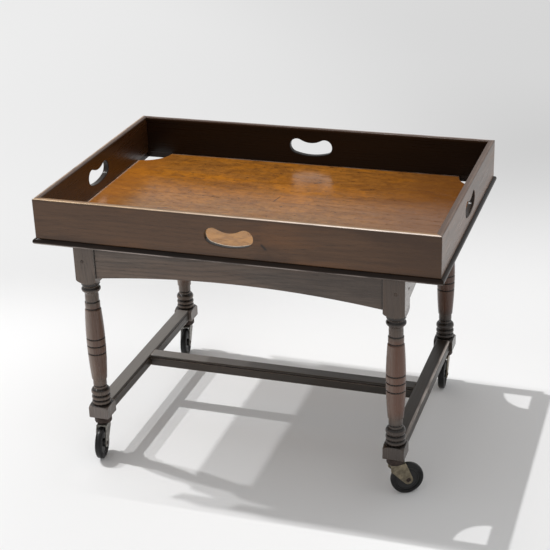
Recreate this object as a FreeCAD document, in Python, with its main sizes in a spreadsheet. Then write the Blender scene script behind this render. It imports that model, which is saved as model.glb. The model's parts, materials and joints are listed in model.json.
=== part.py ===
"""Butler's tray table: an oak gallery tray that lifts off a turned stand on four swivel castors.

Millimetres, +Z up. The origin is on the floor under the middle of the table, +X runs along the tray and
the front of the table faces -Y.
"""
import FreeCAD, Part
import os
import re

import Sketcher
from FreeCAD import Placement, Rotation, Vector

doc = FreeCAD.newDocument("butlers_tray_table")
sheet = doc.addObject("Spreadsheet::Sheet", "Sizes")

# Driving dimensions, in millimetres and degrees
SIZES = {
    # Tray
    "tray_length": 760,
    "tray_depth": 518,
    "wall_thick": 12,
    "wall_height": 77,
    "wall_round": 2,
    "moulding_thick": 11.5,
    "moulding_out": 5.4,
    "floor_thick": 11,
    "floor_round": 0.8,
    "notch_radius": 55,
    # Hand holes in the tray walls
    "hole_width": 91,
    "hole_lobe": 15.5,
    "hole_belly": 4.5,
    "hole_dip": 8,
    "hole_drop": 23.5,
    "hole_round": 1.5,
    # Battens under the tray floor
    "batten_width": 40,
    "batten_thick": 20,
    "batten_play": 2,
    "batten_round": 2,
    # Wood screws and pins
    "screw_head": 8,
    "screw_shank": 4,
    "screw_taper": 3,
    "screw_cover": 4,
    "screw_edge": 28,
    "screw_sink": 5,
    "pin_width": 1.6,
    "pin_bite": 14,
    "bore_fit": 0.05,
    # Stand
    "overhang_along": 85.5,
    "overhang_across": 34.5,
    "leg_block": 40,
    "leg_arris": 1,
    "top_block_length": 79.5,
    "foot_block_length": 26,
    "pommel_round": 12.5,
    "pommel_set": 3,
    # Turned part of a leg, from the foot block up
    "ring_low": 9.5,
    "ring_middle": 10,
    "ring_high": 14,
    "ring_root": 14.6,
    "ring_rise": 3.9,
    "foot_neck_length": 21,
    "foot_neck_radius": 13.2,
    "belly_length": 151,
    "belly_foot_radius": 14.7,
    "belly_top_radius": 15.3,
    "belly_rise": 3.2,
    "band_length": 14.5,
    "band_radius": 14.5,
    "top_neck_length": 12,
    "top_neck_radius": 13.3,
    "cove_length": 9.5,
    "top_ring_height": 8,
    "top_ring_root": 16,
    "top_ring_rise": 2.4,
    "collar_length": 12.5,
    "collar_radius": 18,
    "collar_dip": 2.5,
    "collar_waist_radius": 14.6,
    "cut_depth": 2,
    # Aprons and their pegged tenons
    "apron_height": 67.5,
    "apron_thick": 18,
    "apron_inset": 4,
    "apron_rise": 18,
    "tenon_thick": 8,
    "tenon_shoulder": 12,
    "mortise_end": 10,
    "tenon_clear": 1.5,
    "long_peg_set": 23.5,
    "short_peg_set": 9,
    "peg_width": 6,
    "peg_past": 5,
    "joint_fit": 0.15,
    # Stretchers
    "stretcher_width": 28,
    "stretcher_height": 23,
    "stretcher_lift": 2,
    "bead_width": 5,
    "bead_rise": 2.2,
    "quirk_width": 1.2,
    "rail_tenon_thick": 10,
    "rail_tenon_shoulder": 5,
    "rail_screw_bite": 22,
    # Castors
    "castor_trail": 22.5,
    "wheel_radius": 31.5,
    "tyre_width": 13.5,
    "tyre_round": 4,
    "tyre_thick": 8,
    "rim_inset": 1.25,
    "rim_thick": 3.5,
    "web_thick": 6,
    "hub_radius": 8,
    "hub_proud": 1,
    "hub_play": 0.5,
    "axle_radius": 3,
    "axle_head_radius": 4.6,
    "axle_head_rise": 1.6,
    "axle_fit": 0.08,
    "fork_thick": 2.2,
    "fork_crown_thick": 2.5,
    "fork_head_room": 1.5,
    "fork_nose": 11,
    "fork_back": 17.5,
    "fork_nose_drop": 13,
    "fork_bend": 2,
    "boss_radius": 8.7,
    "washer_thick": 1.5,
    "washer_radius": 12,
    "cup_radius": 17,
    "cup_height": 15.5,
    "cup_lip": 4,
    "cup_base_ease": 3,
    "stem_radius": 5,
    "stem_length": 32,
    "king_radius": 4,
    "king_head_radius": 7,
    "king_head_thick": 2.8,
    "king_gap": 0.2,
    "king_hold": 10,
    # How each castor is turned, and where the fork's boss meets its straight edges
    "swivel_front_left": -81,
    "swivel_front_right": 31,
    "swivel_back_left": -80,
    "swivel_back_right": -86,
    "boss_heel_angle": 44,
    "boss_toe_angle": 22,
    # Depth by which a cutting shape runs past the surface
    "overrun": 3,
}

# Places along a length, as shares of that length
BOARD_JOINT_SHARES = (0.27, 0.545)
NECK_CUT_SHARE = 0.28
BELLY_CUT_SHARES = (0.375, 0.483, 0.585)
PIN_SHARES = (-0.42, -0.14, 0.14, 0.42)
NOSE_ROUND_SHARE = 0.47

# Shares that tell a straight or level edge from others
STRAIGHT_SHARE = 0.999
NEAR_SHARE = 0.001

for row, (alias, value) in enumerate(SIZES.items(), 1):
    sheet.set(f"A{row}", alias.replace("_", " "))
    sheet.set(f"B{row}", str(value))
    sheet.setAlias(f"B{row}", alias)
doc.recompute()

# Levels and lengths that follow from the driving dimensions
CROWN_FOOT = "(2 * wheel_radius + fork_head_room)"
CROWN_TOP = f"({CROWN_FOOT} + fork_crown_thick)"
CUP_FOOT = f"({CROWN_TOP} + washer_thick)"
CASTOR_TOP = f"({CUP_FOOT} + cup_height)"
RIM_RADIUS = "(wheel_radius - tyre_thick)"
HUB_WIDTH = "(tyre_width + 2 * hub_proud)"
FORK_GAP = f"({HUB_WIDTH} + 2 * hub_play)"
LEG_SPAN_ALONG = "(tray_length - 2 * overhang_along)"
LEG_SPAN_ACROSS = "(tray_depth - 2 * overhang_across)"
RINGS_TOP = "(foot_block_length + ring_low + ring_middle + ring_high)"
BELLY_FOOT = f"({RINGS_TOP} + foot_neck_length)"
BELLY_TOP = f"({BELLY_FOOT} + belly_length)"
BAND_TOP = f"({BELLY_TOP} + band_length)"
COVE_FOOT = f"({BAND_TOP} + top_neck_length)"
TOP_RING_FOOT = f"({COVE_FOOT} + cove_length)"
COLLAR_FOOT = f"({TOP_RING_FOOT} + top_ring_height)"
BLOCK_FOOT = f"({COLLAR_FOOT} + collar_length)"
LEG_LENGTH = f"({BLOCK_FOOT} + top_block_length)"
STAND_TOP = f"({CASTOR_TOP} + {LEG_LENGTH})"
WALL_FOOT = f"({STAND_TOP} + moulding_thick)"
APRON_FOOT = f"({STAND_TOP} - apron_height)"
APRON_SET = "(leg_block / 2 - apron_inset - apron_thick / 2)"
APRON_MIDDLE = f"({STAND_TOP} - apron_height / 2)"
RAIL_FOOT = f"({CASTOR_TOP} + stretcher_lift)"
RAIL_MIDDLE = f"({RAIL_FOOT} + stretcher_height / 2)"
FLOOR_ALONG = "(tray_length / 2 - wall_thick)"
FLOOR_ACROSS = "(tray_depth / 2 - wall_thick)"
BATTEN_REACH = f"({LEG_SPAN_ALONG} / 2 + leg_block / 2 - apron_inset - apron_thick - batten_play)"
BATTEN_HALF = f"({LEG_SPAN_ACROSS} / 2 - leg_block / 2 - batten_play)"
LONG_TENON = "(leg_block - mortise_end)"
SHORT_TENON = f"(leg_block / 2 + {APRON_SET} - tenon_thick / 2 - peg_past - tenon_clear)"
RAIL_TENON = "(leg_block / 2 - stem_radius - tenon_clear)"
CROSS_TENON = "(stretcher_width / 2)"
PEG_LENGTH = f"(leg_block / 2 - {APRON_SET} + tenon_thick / 2 + peg_past)"
SCREW_BITE = "(floor_thick - screw_cover)"

# The four corners of the stand: name, side along X, side along Y
CORNERS = (
    ("front_left", -1, -1),
    ("front_right", 1, -1),
    ("back_left", -1, 1),
    ("back_right", 1, 1),
)
UPRIGHT = Rotation()
ALONG_X = Rotation(Vector(0, 1, 0), 90)
ALONG_Y = Rotation(Vector(1, 0, 0), -90)


def bound(sum_of_sizes):
    """Writes a sum of named sizes as an expression on the sheet."""
    return re.sub(r"\b([a-z]+(?:_[a-z]+)+|overrun)\b", r"Sizes.\1", str(sum_of_sizes))


def measure(sum_of_sizes):
    """The sum's value in millimetres."""
    return float(sheet.evalExpression(bound(sum_of_sizes)))


def arc_radius(chord, rise):
    """Radius of an arc that rises so far over its chord."""
    return f"((({chord}) / 2)^2 + ({rise})^2) / (2 * ({rise}))"


def place(thing, x, y, z, turn=UPRIGHT):
    """Puts a sub-part or a feature at a place given in named sizes."""
    thing.Placement = Placement(Vector(), turn)
    for axis, distance in zip("xyz", (x, y, z)):
        thing.setExpression(f"Placement.Base.{axis}", bound(distance))


def set_sizes(thing, **sizes):
    for name, value in sizes.items():
        thing.setExpression(name, bound(value))


def new_body(label):
    body = doc.addObject("PartDesign::Body", label)
    body.Label = label
    return body


def new_sketch(body, name, role, lift="0 * overrun"):
    """A sketch on one of the body's origin planes, lifted off it."""
    sketch = body.newObject("Sketcher::SketchObject", name)
    origin_plane = next(each for each in body.Origin.OriginFeatures if each.Role == role)
    sketch.AttachmentSupport = (origin_plane, "")
    sketch.MapMode = "FlatFace"
    sketch.setExpression("AttachmentOffset.Base.z", bound(lift))
    return sketch


def pin_down(sketch, edge, end, corner):
    """Holds one end of an edge at a corner."""
    for kind, axis, distance in (("DistanceX", -2, corner[0]), ("DistanceY", -1, corner[1])):
        value = measure(distance)
        if value == 0:
            sketch.addConstraint(Sketcher.Constraint("PointOnObject", edge, end, axis))
            continue
        number = sketch.addConstraint(Sketcher.Constraint(kind, -1, 1, edge, end, value))
        sketch.setExpression(f"Constraints[{number}]", bound(distance))


def draw(sketch, corners, arcs=()):
    """Draws a closed outline through the corners.

    arcs maps the number of a side to its radius, the hand it bulges to (1 right, -1 left of the way it
    runs) and whether it is more than half a circle.
    """
    arcs = dict(arcs)
    points = [Vector(measure(x), measure(y), 0) for x, y in corners]
    first_ends = []
    last_ends = []
    for side, start in enumerate(points):
        end = points[(side + 1) % len(points)]
        if side not in arcs:
            edge = sketch.addGeometry(Part.LineSegment(start, end), False)
            first_ends.append((edge, 1))
            last_ends.append((edge, 2))
            continue
        radius, hand, is_major = arcs[side]
        run = end - start
        left = Vector(-run.y, run.x, 0).normalize()
        reach = max(measure(radius) ** 2 - run.Length ** 2 / 4, 0) ** 0.5
        centre = (start + end) / 2 + left * (reach * hand * (-1 if is_major else 1))
        ring = Part.Circle(centre, Vector(0, 0, 1), measure(radius))
        ends = (start, end) if hand > 0 else (end, start)
        arc = Part.ArcOfCircle(ring, ring.parameter(ends[0]), ring.parameter(ends[1]))
        edge = sketch.addGeometry(arc, False)
        first_ends.append((edge, 1 if hand > 0 else 2))
        last_ends.append((edge, 2 if hand > 0 else 1))
        number = sketch.addConstraint(Sketcher.Constraint("Radius", edge, measure(radius)))
        sketch.setExpression(f"Constraints[{number}]", bound(radius))
    for side, corner in enumerate(corners):
        sketch.addConstraint(Sketcher.Constraint("Coincident", *last_ends[side - 1], *first_ends[side]))
        pin_down(sketch, *first_ends[side], corner)


def pad(body, sketch, length, symmetric=False):
    feature = body.newObject("PartDesign::Pad", sketch.Name + "_pad")
    feature.Profile = sketch
    if symmetric:
        feature.SideType = "Symmetric"
    set_sizes(feature, Length=length)
    sketch.Visibility = False
    return feature


def revolve(body, sketch, kind="PartDesign::Revolution"):
    """Turns a profile about the upright axis of its sketch, or cuts with it."""
    feature = body.newObject(kind, sketch.Name + "_turned")
    feature.Profile = sketch
    feature.ReferenceAxis = (sketch, ["V_Axis"])
    feature.Angle = 360
    return feature


def block(body, name, middle, size, kind="PartDesign::AdditiveBox"):
    """A box about its middle, added to the body or cut out of it."""
    feature = body.newObject(kind, name)
    set_sizes(feature, Length=size[0], Width=size[1], Height=size[2])
    place(feature, *(f"({at}) - ({length}) / 2" for at, length in zip(middle, size)))
    return feature


def hollow(body, name, middle, size):
    return block(body, name, middle, size, "PartDesign::SubtractiveBox")


def bore(body, name, start, radius, length, turn=UPRIGHT):
    feature = body.newObject("PartDesign::SubtractiveCylinder", name)
    set_sizes(feature, Radius=radius, Height=length)
    place(feature, *start, turn)
    return feature


def edges_where(feature, test):
    doc.recompute()
    return [f"Edge{number}" for number, edge in enumerate(feature.Shape.Edges, 1) if test(edge)]


def soften(body, name, feature, test, radius):
    """Rounds the edges that pass a test."""
    fillet = body.newObject("PartDesign::Fillet", name)
    fillet.Base = (feature, edges_where(feature, test))
    set_sizes(fillet, Radius=radius)
    return fillet


def lies_at(edge, axis, level):
    """Whether a whole edge lies at one level along an axis."""
    low = getattr(edge.BoundBox, axis + "Min")
    high = getattr(edge.BoundBox, axis + "Max")
    near = measure("overrun") * NEAR_SHARE
    return abs(low - level) < near and abs(high - level) < near


def runs_along(edge, axis):
    """Whether an edge is a straight line along an axis."""
    run = edge.Vertexes[-1].Point - edge.Vertexes[0].Point
    return abs(getattr(run, axis)) > edge.Length * STRAIGHT_SHARE


def rod(name, radius, length, start, turn=UPRIGHT):
    """A plain round rod, such as a peg or a pin."""
    cylinder = doc.addObject("Part::Cylinder", name)
    set_sizes(cylinder, Radius=radius, Height=length)
    place(cylinder, *start, turn)
    return cylinder


def screw(name, length, start, turn=UPRIGHT):
    """A countersunk wood screw, head first."""
    taper = doc.addObject("Part::Cone", name + "_head")
    set_sizes(taper, Radius1="screw_head / 2", Radius2="screw_shank / 2", Height="screw_taper")
    shank = doc.addObject("Part::Cylinder", name + "_shank")
    set_sizes(shank, Radius="screw_shank / 2", Height=length)
    whole = doc.addObject("Part::Fuse", name)
    whole.Base = taper
    whole.Tool = shank
    place(whole, *start, turn)
    return whole


def screw_hole(body, name, start, length, turn=UPRIGHT):
    return bore(body, name, start, "screw_shank / 2 + bore_fit", length, turn)


def group(label, things):
    """Like fasteners as one node."""
    compound = doc.addObject("Part::Compound", label)
    compound.Links = things
    compound.Label = label
    return compound


# Legs: square blocks left at both ends of a turned spindle
def leg_profile():
    """The spindle's radius and height, from the foot up, and its round stretches."""
    corners = [("0", "0"), ("ring_root", "0"), ("ring_root", "foot_block_length")]
    arcs = {}
    level = "foot_block_length"
    for ring in ("ring_low", "ring_middle", "ring_high"):
        arcs[len(corners) - 1] = (arc_radius(ring, "ring_rise"), 1, False)
        level = f"{level} + {ring}"
        corners.append(("ring_root", level))
    corners += [
        ("foot_neck_radius", RINGS_TOP),
        ("foot_neck_radius", BELLY_FOOT),
        ("belly_foot_radius", BELLY_FOOT),
    ]
    arcs[len(corners) - 1] = (arc_radius("belly_length", "belly_rise"), 1, False)
    corners += [
        ("belly_top_radius", BELLY_TOP),
        ("band_radius", BELLY_TOP),
        ("band_radius", BAND_TOP),
        ("top_neck_radius", BAND_TOP),
        ("top_neck_radius", COVE_FOOT),
    ]
    arcs[len(corners) - 1] = ("cove_length", -1, False)
    corners.append(("top_ring_root", TOP_RING_FOOT))
    arcs[len(corners) - 1] = (arc_radius("top_ring_height", "top_ring_rise"), 1, False)
    corners += [
        ("top_ring_root", COLLAR_FOOT),
        ("collar_waist_radius", f"{COLLAR_FOOT} + collar_dip"),
        ("collar_radius", f"{COLLAR_FOOT} + collar_length / 2"),
        ("collar_radius", BLOCK_FOOT),
        ("ring_root", BLOCK_FOOT),
        ("ring_root", LEG_LENGTH),
        ("0", LEG_LENGTH),
    ]
    return corners, arcs


def leg_cuts():
    """The spindle's radius and height at each fine groove turned into it."""
    cuts = [("foot_neck_radius", f"({RINGS_TOP} + foot_neck_length * {NECK_CUT_SHARE})")]
    for share in BELLY_CUT_SHARES:
        taper = f"(belly_top_radius - belly_foot_radius) * {share}"
        swell = f"belly_rise * {4 * share * (1 - share)}"
        cuts.append((f"belly_foot_radius + {taper} + {swell}", f"({BELLY_FOOT} + belly_length * {share})"))
    return cuts + [("band_radius", BELLY_TOP), ("band_radius", BAND_TOP)]


def cut_ring(sketch_body, name, radius, height):
    """A fine V groove turned into the spindle down to a radius."""
    reach = "(cut_depth + overrun)"
    sketch = new_sketch(sketch_body, name, "XZ_Plane")
    draw(sketch, [
        (radius, height),
        (f"{radius} + {reach}", f"{height} - {reach}"),
        (f"{radius} + {reach}", f"{height} + {reach}"),
    ])
    return revolve(sketch_body, sketch, "PartDesign::Groove")


def round_pommel(body, name, level, way):
    """Rounds the shoulders of a square block where it meets the turning."""
    inner = "(leg_block / 2 - pommel_set)"
    outer = f"({inner} + pommel_round)"
    sketch = new_sketch(body, name, "XZ_Plane")
    draw(sketch, [
        (inner, level),
        (outer, f"{level} - {way} * pommel_round"),
        (outer, level),
    ], {0: ("pommel_round", -way, False)})
    return revolve(body, sketch, "PartDesign::Groove")


def make_leg(name, side, face):
    body = new_body("leg_" + name)
    sketch = new_sketch(body, "leg_outline_" + name, "XZ_Plane")
    draw(sketch, *leg_profile())
    revolve(body, sketch)
    for number, (radius, height) in enumerate(leg_cuts()):
        cut_ring(body, f"fine_cut_{number}_{name}", f"({radius} - cut_depth)", height)
    block(body, "foot_block_" + name, ("0", "0", "foot_block_length / 2"),
          ("leg_block", "leg_block", "foot_block_length"))
    round_pommel(body, "foot_pommel_" + name, "foot_block_length", 1)
    block(body, "top_block_" + name, ("0", "0", f"{BLOCK_FOOT} + top_block_length / 2"),
          ("leg_block", "leg_block", "top_block_length"))
    shaped = round_pommel(body, "top_pommel_" + name, BLOCK_FOOT, -1)
    corner_reach = measure("leg_block / 2 - leg_arris")

    def is_arris(edge):
        at = edge.CenterOfMass
        return runs_along(edge, "z") and min(abs(at.x), abs(at.y)) > corner_reach
    soften(body, "leg_arris_" + name, shaped, is_arris, "leg_arris")

    # Mortises for the long apron, the short apron and the side stretcher
    to_local = f"- {CASTOR_TOP}"
    apron_z = f"{APRON_MIDDLE} {to_local}"
    apron_high = "(apron_height - 2 * tenon_shoulder + 2 * joint_fit)"
    apron_wide = "(tenon_thick + 2 * joint_fit)"
    long_deep = f"({LONG_TENON} + joint_fit + overrun)"
    short_deep = f"({SHORT_TENON} + joint_fit + overrun)"
    rail_deep = f"({RAIL_TENON} + joint_fit + overrun)"
    hollow(body, "long_mortise_" + name,
           (f"{-side} * (leg_block / 2 + overrun - {long_deep} / 2)", f"{face} * {APRON_SET}", apron_z),
           (long_deep, apron_wide, apron_high))
    hollow(body, "short_mortise_" + name,
           (f"{side} * {APRON_SET}", f"{-face} * (leg_block / 2 + overrun - {short_deep} / 2)", apron_z),
           (apron_wide, short_deep, apron_high))
    hollow(body, "rail_mortise_" + name,
           ("0", f"{-face} * (leg_block / 2 + overrun - {rail_deep} / 2)", f"{RAIL_MIDDLE} {to_local}"),
           ("rail_tenon_thick + 2 * joint_fit", rail_deep,
            "stretcher_height - 2 * rail_tenon_shoulder + 2 * joint_fit"))

    # Peg holes, and the hole for the castor's stem
    peg_bore = "peg_width / 2 + bore_fit"
    from_front = f"{face} * (leg_block / 2 + overrun)" if face < 0 else f"leg_block / 2 - {PEG_LENGTH}"
    from_side = f"{side} * (leg_block / 2 + overrun)" if side < 0 else f"leg_block / 2 - {PEG_LENGTH}"
    bore(body, "long_peg_hole_" + name, (f"{side} * (long_peg_set - leg_block / 2)", from_front, apron_z),
         peg_bore, f"{PEG_LENGTH} + overrun", ALONG_Y)
    bore(body, "short_peg_hole_" + name, (from_side, f"{face} * (short_peg_set - leg_block / 2)", apron_z),
         peg_bore, f"{PEG_LENGTH} + overrun", ALONG_X)
    bore(body, "stem_hole_" + name, ("0", "0", "-overrun"), "stem_radius + bore_fit",
         "stem_length + overrun + bore_fit")
    place(body, f"{side} * {LEG_SPAN_ALONG} / 2", f"{face} * {LEG_SPAN_ACROSS} / 2", CASTOR_TOP)
    return body


# Aprons: arched rails tenoned and pegged into the legs
def make_apron(label, span, tenon, peg_set, x, y, turn):
    body = new_body(label)
    half = f"({span} / 2 - leg_block / 2)"
    sketch = new_sketch(body, label + "_outline", "XZ_Plane")
    draw(sketch, [
        (f"-{half}", APRON_FOOT),
        (half, APRON_FOOT),
        (half, STAND_TOP),
        (f"-{half}", STAND_TOP),
    ], {0: (arc_radius(f"2 * {half}", "apron_rise"), -1, False)})
    pad(body, sketch, "apron_thick", symmetric=True)
    for end in (-1, 1):
        middle = (f"{end} * ({half} + {tenon} / 2)", "0", APRON_MIDDLE)
        block(body, f"{label}_tenon_{end + 1}", middle,
              (tenon, "tenon_thick", "apron_height - 2 * tenon_shoulder"))
    for end in (-1, 1):
        bore(body, f"{label}_peg_hole_{end + 1}",
             (f"{end} * ({half} + {peg_set})", "-tenon_thick / 2 - overrun", APRON_MIDDLE),
             "peg_width / 2 + bore_fit", "tenon_thick + 2 * overrun", ALONG_Y)
    place(body, x, y, "0", Rotation(Vector(0, 0, 1), turn))
    return body


def make_pegs():
    """Pegs through the leg faces into the apron tenons, ends flush with the legs."""
    pegs = []
    for name, side, face in CORNERS:
        axis_x = f"{side} * {LEG_SPAN_ALONG} / 2"
        axis_y = f"{face} * {LEG_SPAN_ACROSS} / 2"
        low_y = "-leg_block / 2" if face < 0 else f"leg_block / 2 - {PEG_LENGTH}"
        low_x = "-leg_block / 2" if side < 0 else f"leg_block / 2 - {PEG_LENGTH}"
        pegs.append(rod("long_peg_" + name, "peg_width / 2", PEG_LENGTH,
                        (f"{axis_x} + {side} * (long_peg_set - leg_block / 2)",
                         f"{axis_y} + {low_y}", APRON_MIDDLE), ALONG_Y))
        pegs.append(rod("short_peg_" + name, "peg_width / 2", PEG_LENGTH,
                        (f"{axis_x} + {low_x}",
                         f"{axis_y} + {face} * (short_peg_set - leg_block / 2)", APRON_MIDDLE), ALONG_X))
    return group("apron_pegs", pegs)


# Stretchers: an H of rails with a quirked bead along each upper edge
def rail_profile():
    half = "stretcher_width / 2"
    inner = f"({half} - bead_rise)"
    top = f"({RAIL_FOOT} + stretcher_height)"
    bead_foot = f"({top} - bead_width)"
    quirk_foot = f"({bead_foot} - quirk_width)"
    arc = (arc_radius("bead_width", "bead_rise"), 1, False)
    corners = [
        (f"-{half}", RAIL_FOOT),
        (half, RAIL_FOOT),
        (half, quirk_foot),
        (inner, quirk_foot),
        (inner, bead_foot),
        (inner, top),
        (f"-{inner}", top),
        (f"-{inner}", bead_foot),
        (f"-{inner}", quirk_foot),
        (f"-{half}", quirk_foot),
    ]
    return corners, {4: arc, 6: arc}


def make_rail(label, half, tenon, x, turn):
    body = new_body(label)
    sketch = new_sketch(body, label + "_section", "YZ_Plane")
    draw(sketch, *rail_profile())
    pad(body, sketch, f"2 * {half}", symmetric=True)
    for end in (-1, 1):
        block(body, f"{label}_tenon_{end + 1}", (f"{end} * ({half} + {tenon} / 2)", "0", RAIL_MIDDLE),
              (tenon, "rail_tenon_thick", "stretcher_height - 2 * rail_tenon_shoulder"))
    place(body, x, "0", "0", Rotation(Vector(0, 0, 1), turn))
    return body


def make_stretchers():
    made = []
    side_half = f"({LEG_SPAN_ACROSS} / 2 - leg_block / 2)"
    cross_half = f"({LEG_SPAN_ALONG} / 2 - stretcher_width / 2)"
    cross_deep = f"({CROSS_TENON} + joint_fit + overrun)"
    screw_run = f"(stretcher_width - {CROSS_TENON} - screw_sink + rail_screw_bite)"
    for name, side in (("left", -1), ("right", 1)):
        label = "stretcher_" + name
        body = make_rail(label, side_half, RAIL_TENON, f"{side} * {LEG_SPAN_ALONG} / 2", 90)
        inward = f"{side} * (stretcher_width / 2 + overrun - {cross_deep} / 2)"
        hollow(body, label + "_mortise", ("0", inward, RAIL_MIDDLE),
               ("rail_tenon_thick + 2 * joint_fit", cross_deep,
                "stretcher_height - 2 * rail_tenon_shoulder + 2 * joint_fit"))
        sink = "(screw_sink + screw_taper)"
        outside = f"{-side} * (stretcher_width / 2)"
        low = f"{outside} - {sink}" if side < 0 else f"{outside} - overrun"
        bore(body, label + "_screw_pocket", ("0", low, RAIL_MIDDLE), "screw_head / 2 + joint_fit",
             f"{sink} + overrun", ALONG_Y)
        screw_hole(body, label + "_screw_hole", ("0", "-stretcher_width / 2", RAIL_MIDDLE),
                   "stretcher_width", ALONG_Y)
        made.append(body)
    cross = make_rail("stretcher_centre", cross_half, CROSS_TENON, "0", 0)
    screws = []
    for name, side in (("left", -1), ("right", 1)):
        far = f"({cross_half} + {CROSS_TENON})"
        low = f"-{far} - overrun" if side < 0 else f"{far} - rail_screw_bite - bore_fit"
        screw_hole(cross, "cross_screw_hole_" + name, (low, "0", RAIL_MIDDLE),
                   "rail_screw_bite + bore_fit + overrun", ALONG_X)
        head = f"{side} * ({LEG_SPAN_ALONG} / 2 + stretcher_width / 2 - screw_sink)"
        facing = Rotation(Vector(0, 1, 0), -90 * side)
        screws.append(screw("stretcher_screw_" + name, screw_run, (head, "0", RAIL_MIDDLE), facing))
    return made + [cross, group("stretcher_screws", screws)]


# Tray: mitred walls with hand holes, on a mitred nosing, around a boarded floor
SIDES = (
    ("front", "tray_length", "tray_depth", 0),
    ("right", "tray_depth", "tray_length", 90),
    ("back", "tray_length", "tray_depth", 180),
    ("left", "tray_depth", "tray_length", 270),
)


def hand_hole():
    """A kidney: two round lobes, a full belly below and a dip above."""
    lobe_x = "(hole_width / 2 - hole_lobe)"
    top = f"({WALL_FOOT} + wall_height - hole_drop)"
    lobe_z = f"({top} - hole_lobe)"
    belly = "(hole_lobe + hole_belly)"
    dip = "(hole_lobe - hole_dip)"
    belly_arc = f"(({belly}^2 + {lobe_x}^2 - hole_lobe^2) / (2 * hole_belly))"
    dip_arc = f"(({dip}^2 + {lobe_x}^2 - hole_lobe^2) / (2 * hole_dip))"
    low_share = f"(hole_lobe / ({belly_arc} - hole_lobe))"
    high_share = f"(hole_lobe / ({dip_arc} + hole_lobe))"
    low_x = f"({lobe_x} + {lobe_x} * {low_share})"
    low_z = f"({lobe_z} - ({belly_arc} - {belly}) * {low_share})"
    high_x = f"({lobe_x} - {lobe_x} * {high_share})"
    high_z = f"({lobe_z} + ({dip_arc} + {dip}) * {high_share})"
    corners = [(f"-{low_x}", low_z), (low_x, low_z), (high_x, high_z), (f"-{high_x}", high_z)]
    lobe = ("hole_lobe", 1, True)
    return corners, {0: (belly_arc, 1, False), 1: lobe, 2: (dip_arc, -1, False), 3: lobe}


def mitred_outline(span, reach, out):
    """A strip seen from above, with its ends cut at 45 degrees."""
    outer = f"-({reach} / 2 + {out})"
    inner = f"-({reach} / 2 - wall_thick)"
    return [
        (f"-({span} / 2 + {out})", outer),
        (f"{span} / 2 + {out}", outer),
        (f"{span} / 2 - wall_thick", inner),
        (f"-({span} / 2 - wall_thick)", inner),
    ]


def pin_places(span, reach):
    middle = f"-({reach} / 2 - wall_thick / 2)"
    return [(f"{span} * {share}", middle) for share in PIN_SHARES]


def make_wall(name, span, reach, turn):
    label = f"tray_{name}_wall"
    body = new_body(label)
    plan = new_sketch(body, label + "_plan", "XY_Plane", WALL_FOOT)
    draw(plan, mitred_outline(span, reach, "0 * overrun"))
    pad(body, plan, "wall_height")
    opening = new_sketch(body, label + "_hand_hole", "XZ_Plane")
    draw(opening, *hand_hole())
    pocket = body.newObject("PartDesign::Pocket", label + "_opening")
    pocket.Profile = opening
    pocket.Type = "ThroughAll"
    pocket.Reversed = True
    top = measure(f"{WALL_FOOT} + wall_height")
    outer = measure(f"-{reach} / 2")
    inner = measure(f"-{reach} / 2 + wall_thick")
    hole_reach = measure("hole_width / 2 + wall_round")

    def is_rim(edge):
        on_face = lies_at(edge, "Y", outer) or lies_at(edge, "Y", inner)
        box = edge.BoundBox
        return on_face and max(abs(box.XMin), abs(box.XMax)) < hole_reach
    eased = soften(body, label + "_rim", pocket, is_rim, "hole_round")
    soften(body, label + "_top_round", eased,
           lambda edge: lies_at(edge, "Z", top) and runs_along(edge, "x"), "wall_round")
    for number, (x, y) in enumerate(pin_places(span, reach)):
        bore(body, f"{label}_pin_hole_{number}", (x, y, f"{WALL_FOOT} - overrun"),
             "pin_width / 2 + bore_fit", "pin_bite + bore_fit + overrun")
    place(body, "0", "0", "0", Rotation(Vector(0, 0, 1), turn))
    return body


def make_moulding(name, span, reach, turn):
    label = f"tray_{name}_moulding"
    body = new_body(label)
    plan = new_sketch(body, label + "_plan", "XY_Plane", STAND_TOP)
    draw(plan, mitred_outline(span, reach, "moulding_out"))
    strip = pad(body, plan, "moulding_thick")
    nose = measure(f"-{reach} / 2 - moulding_out")
    soften(body, label + "_nose", strip,
           lambda edge: lies_at(edge, "Y", nose) and runs_along(edge, "x"),
           f"moulding_thick * {NOSE_ROUND_SHARE}")
    for number, (x, y) in enumerate(pin_places(span, reach)):
        bore(body, f"{label}_pin_hole_{number}", (x, y, f"{STAND_TOP} - overrun"),
             "pin_width / 2 + bore_fit", "moulding_thick + 2 * overrun")
    place(body, "0", "0", "0", Rotation(Vector(0, 0, 1), turn))
    return body


def make_moulding_pins():
    pins = []
    for name, span, reach, turn in SIDES:
        about = Rotation(Vector(0, 0, 1), turn)
        for number, (along, across) in enumerate(pin_places(span, reach)):
            way_x = about.multVec(Vector(1, 0, 0))
            way_y = about.multVec(Vector(0, 1, 0))
            x = f"{round(way_x.x)} * ({along}) + {round(way_y.x)} * ({across})"
            y = f"{round(way_x.y)} * ({along}) + {round(way_y.y)} * ({across})"
            pins.append(rod(f"moulding_pin_{name}_{number}", "pin_width / 2", "moulding_thick + pin_bite",
                            (x, y, STAND_TOP)))
    return group("moulding_pins", pins)


def joint_level(share):
    """Where a joint between floor boards lies across the tray."""
    return f"(-{FLOOR_ACROSS} + 2 * {FLOOR_ACROSS} * {share})"


BOARDS = (
    ("front", f"(-{FLOOR_ACROSS})", joint_level(BOARD_JOINT_SHARES[0])),
    ("middle", joint_level(BOARD_JOINT_SHARES[0]), joint_level(BOARD_JOINT_SHARES[1])),
    ("rear", joint_level(BOARD_JOINT_SHARES[1]), FLOOR_ACROSS),
)


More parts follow.
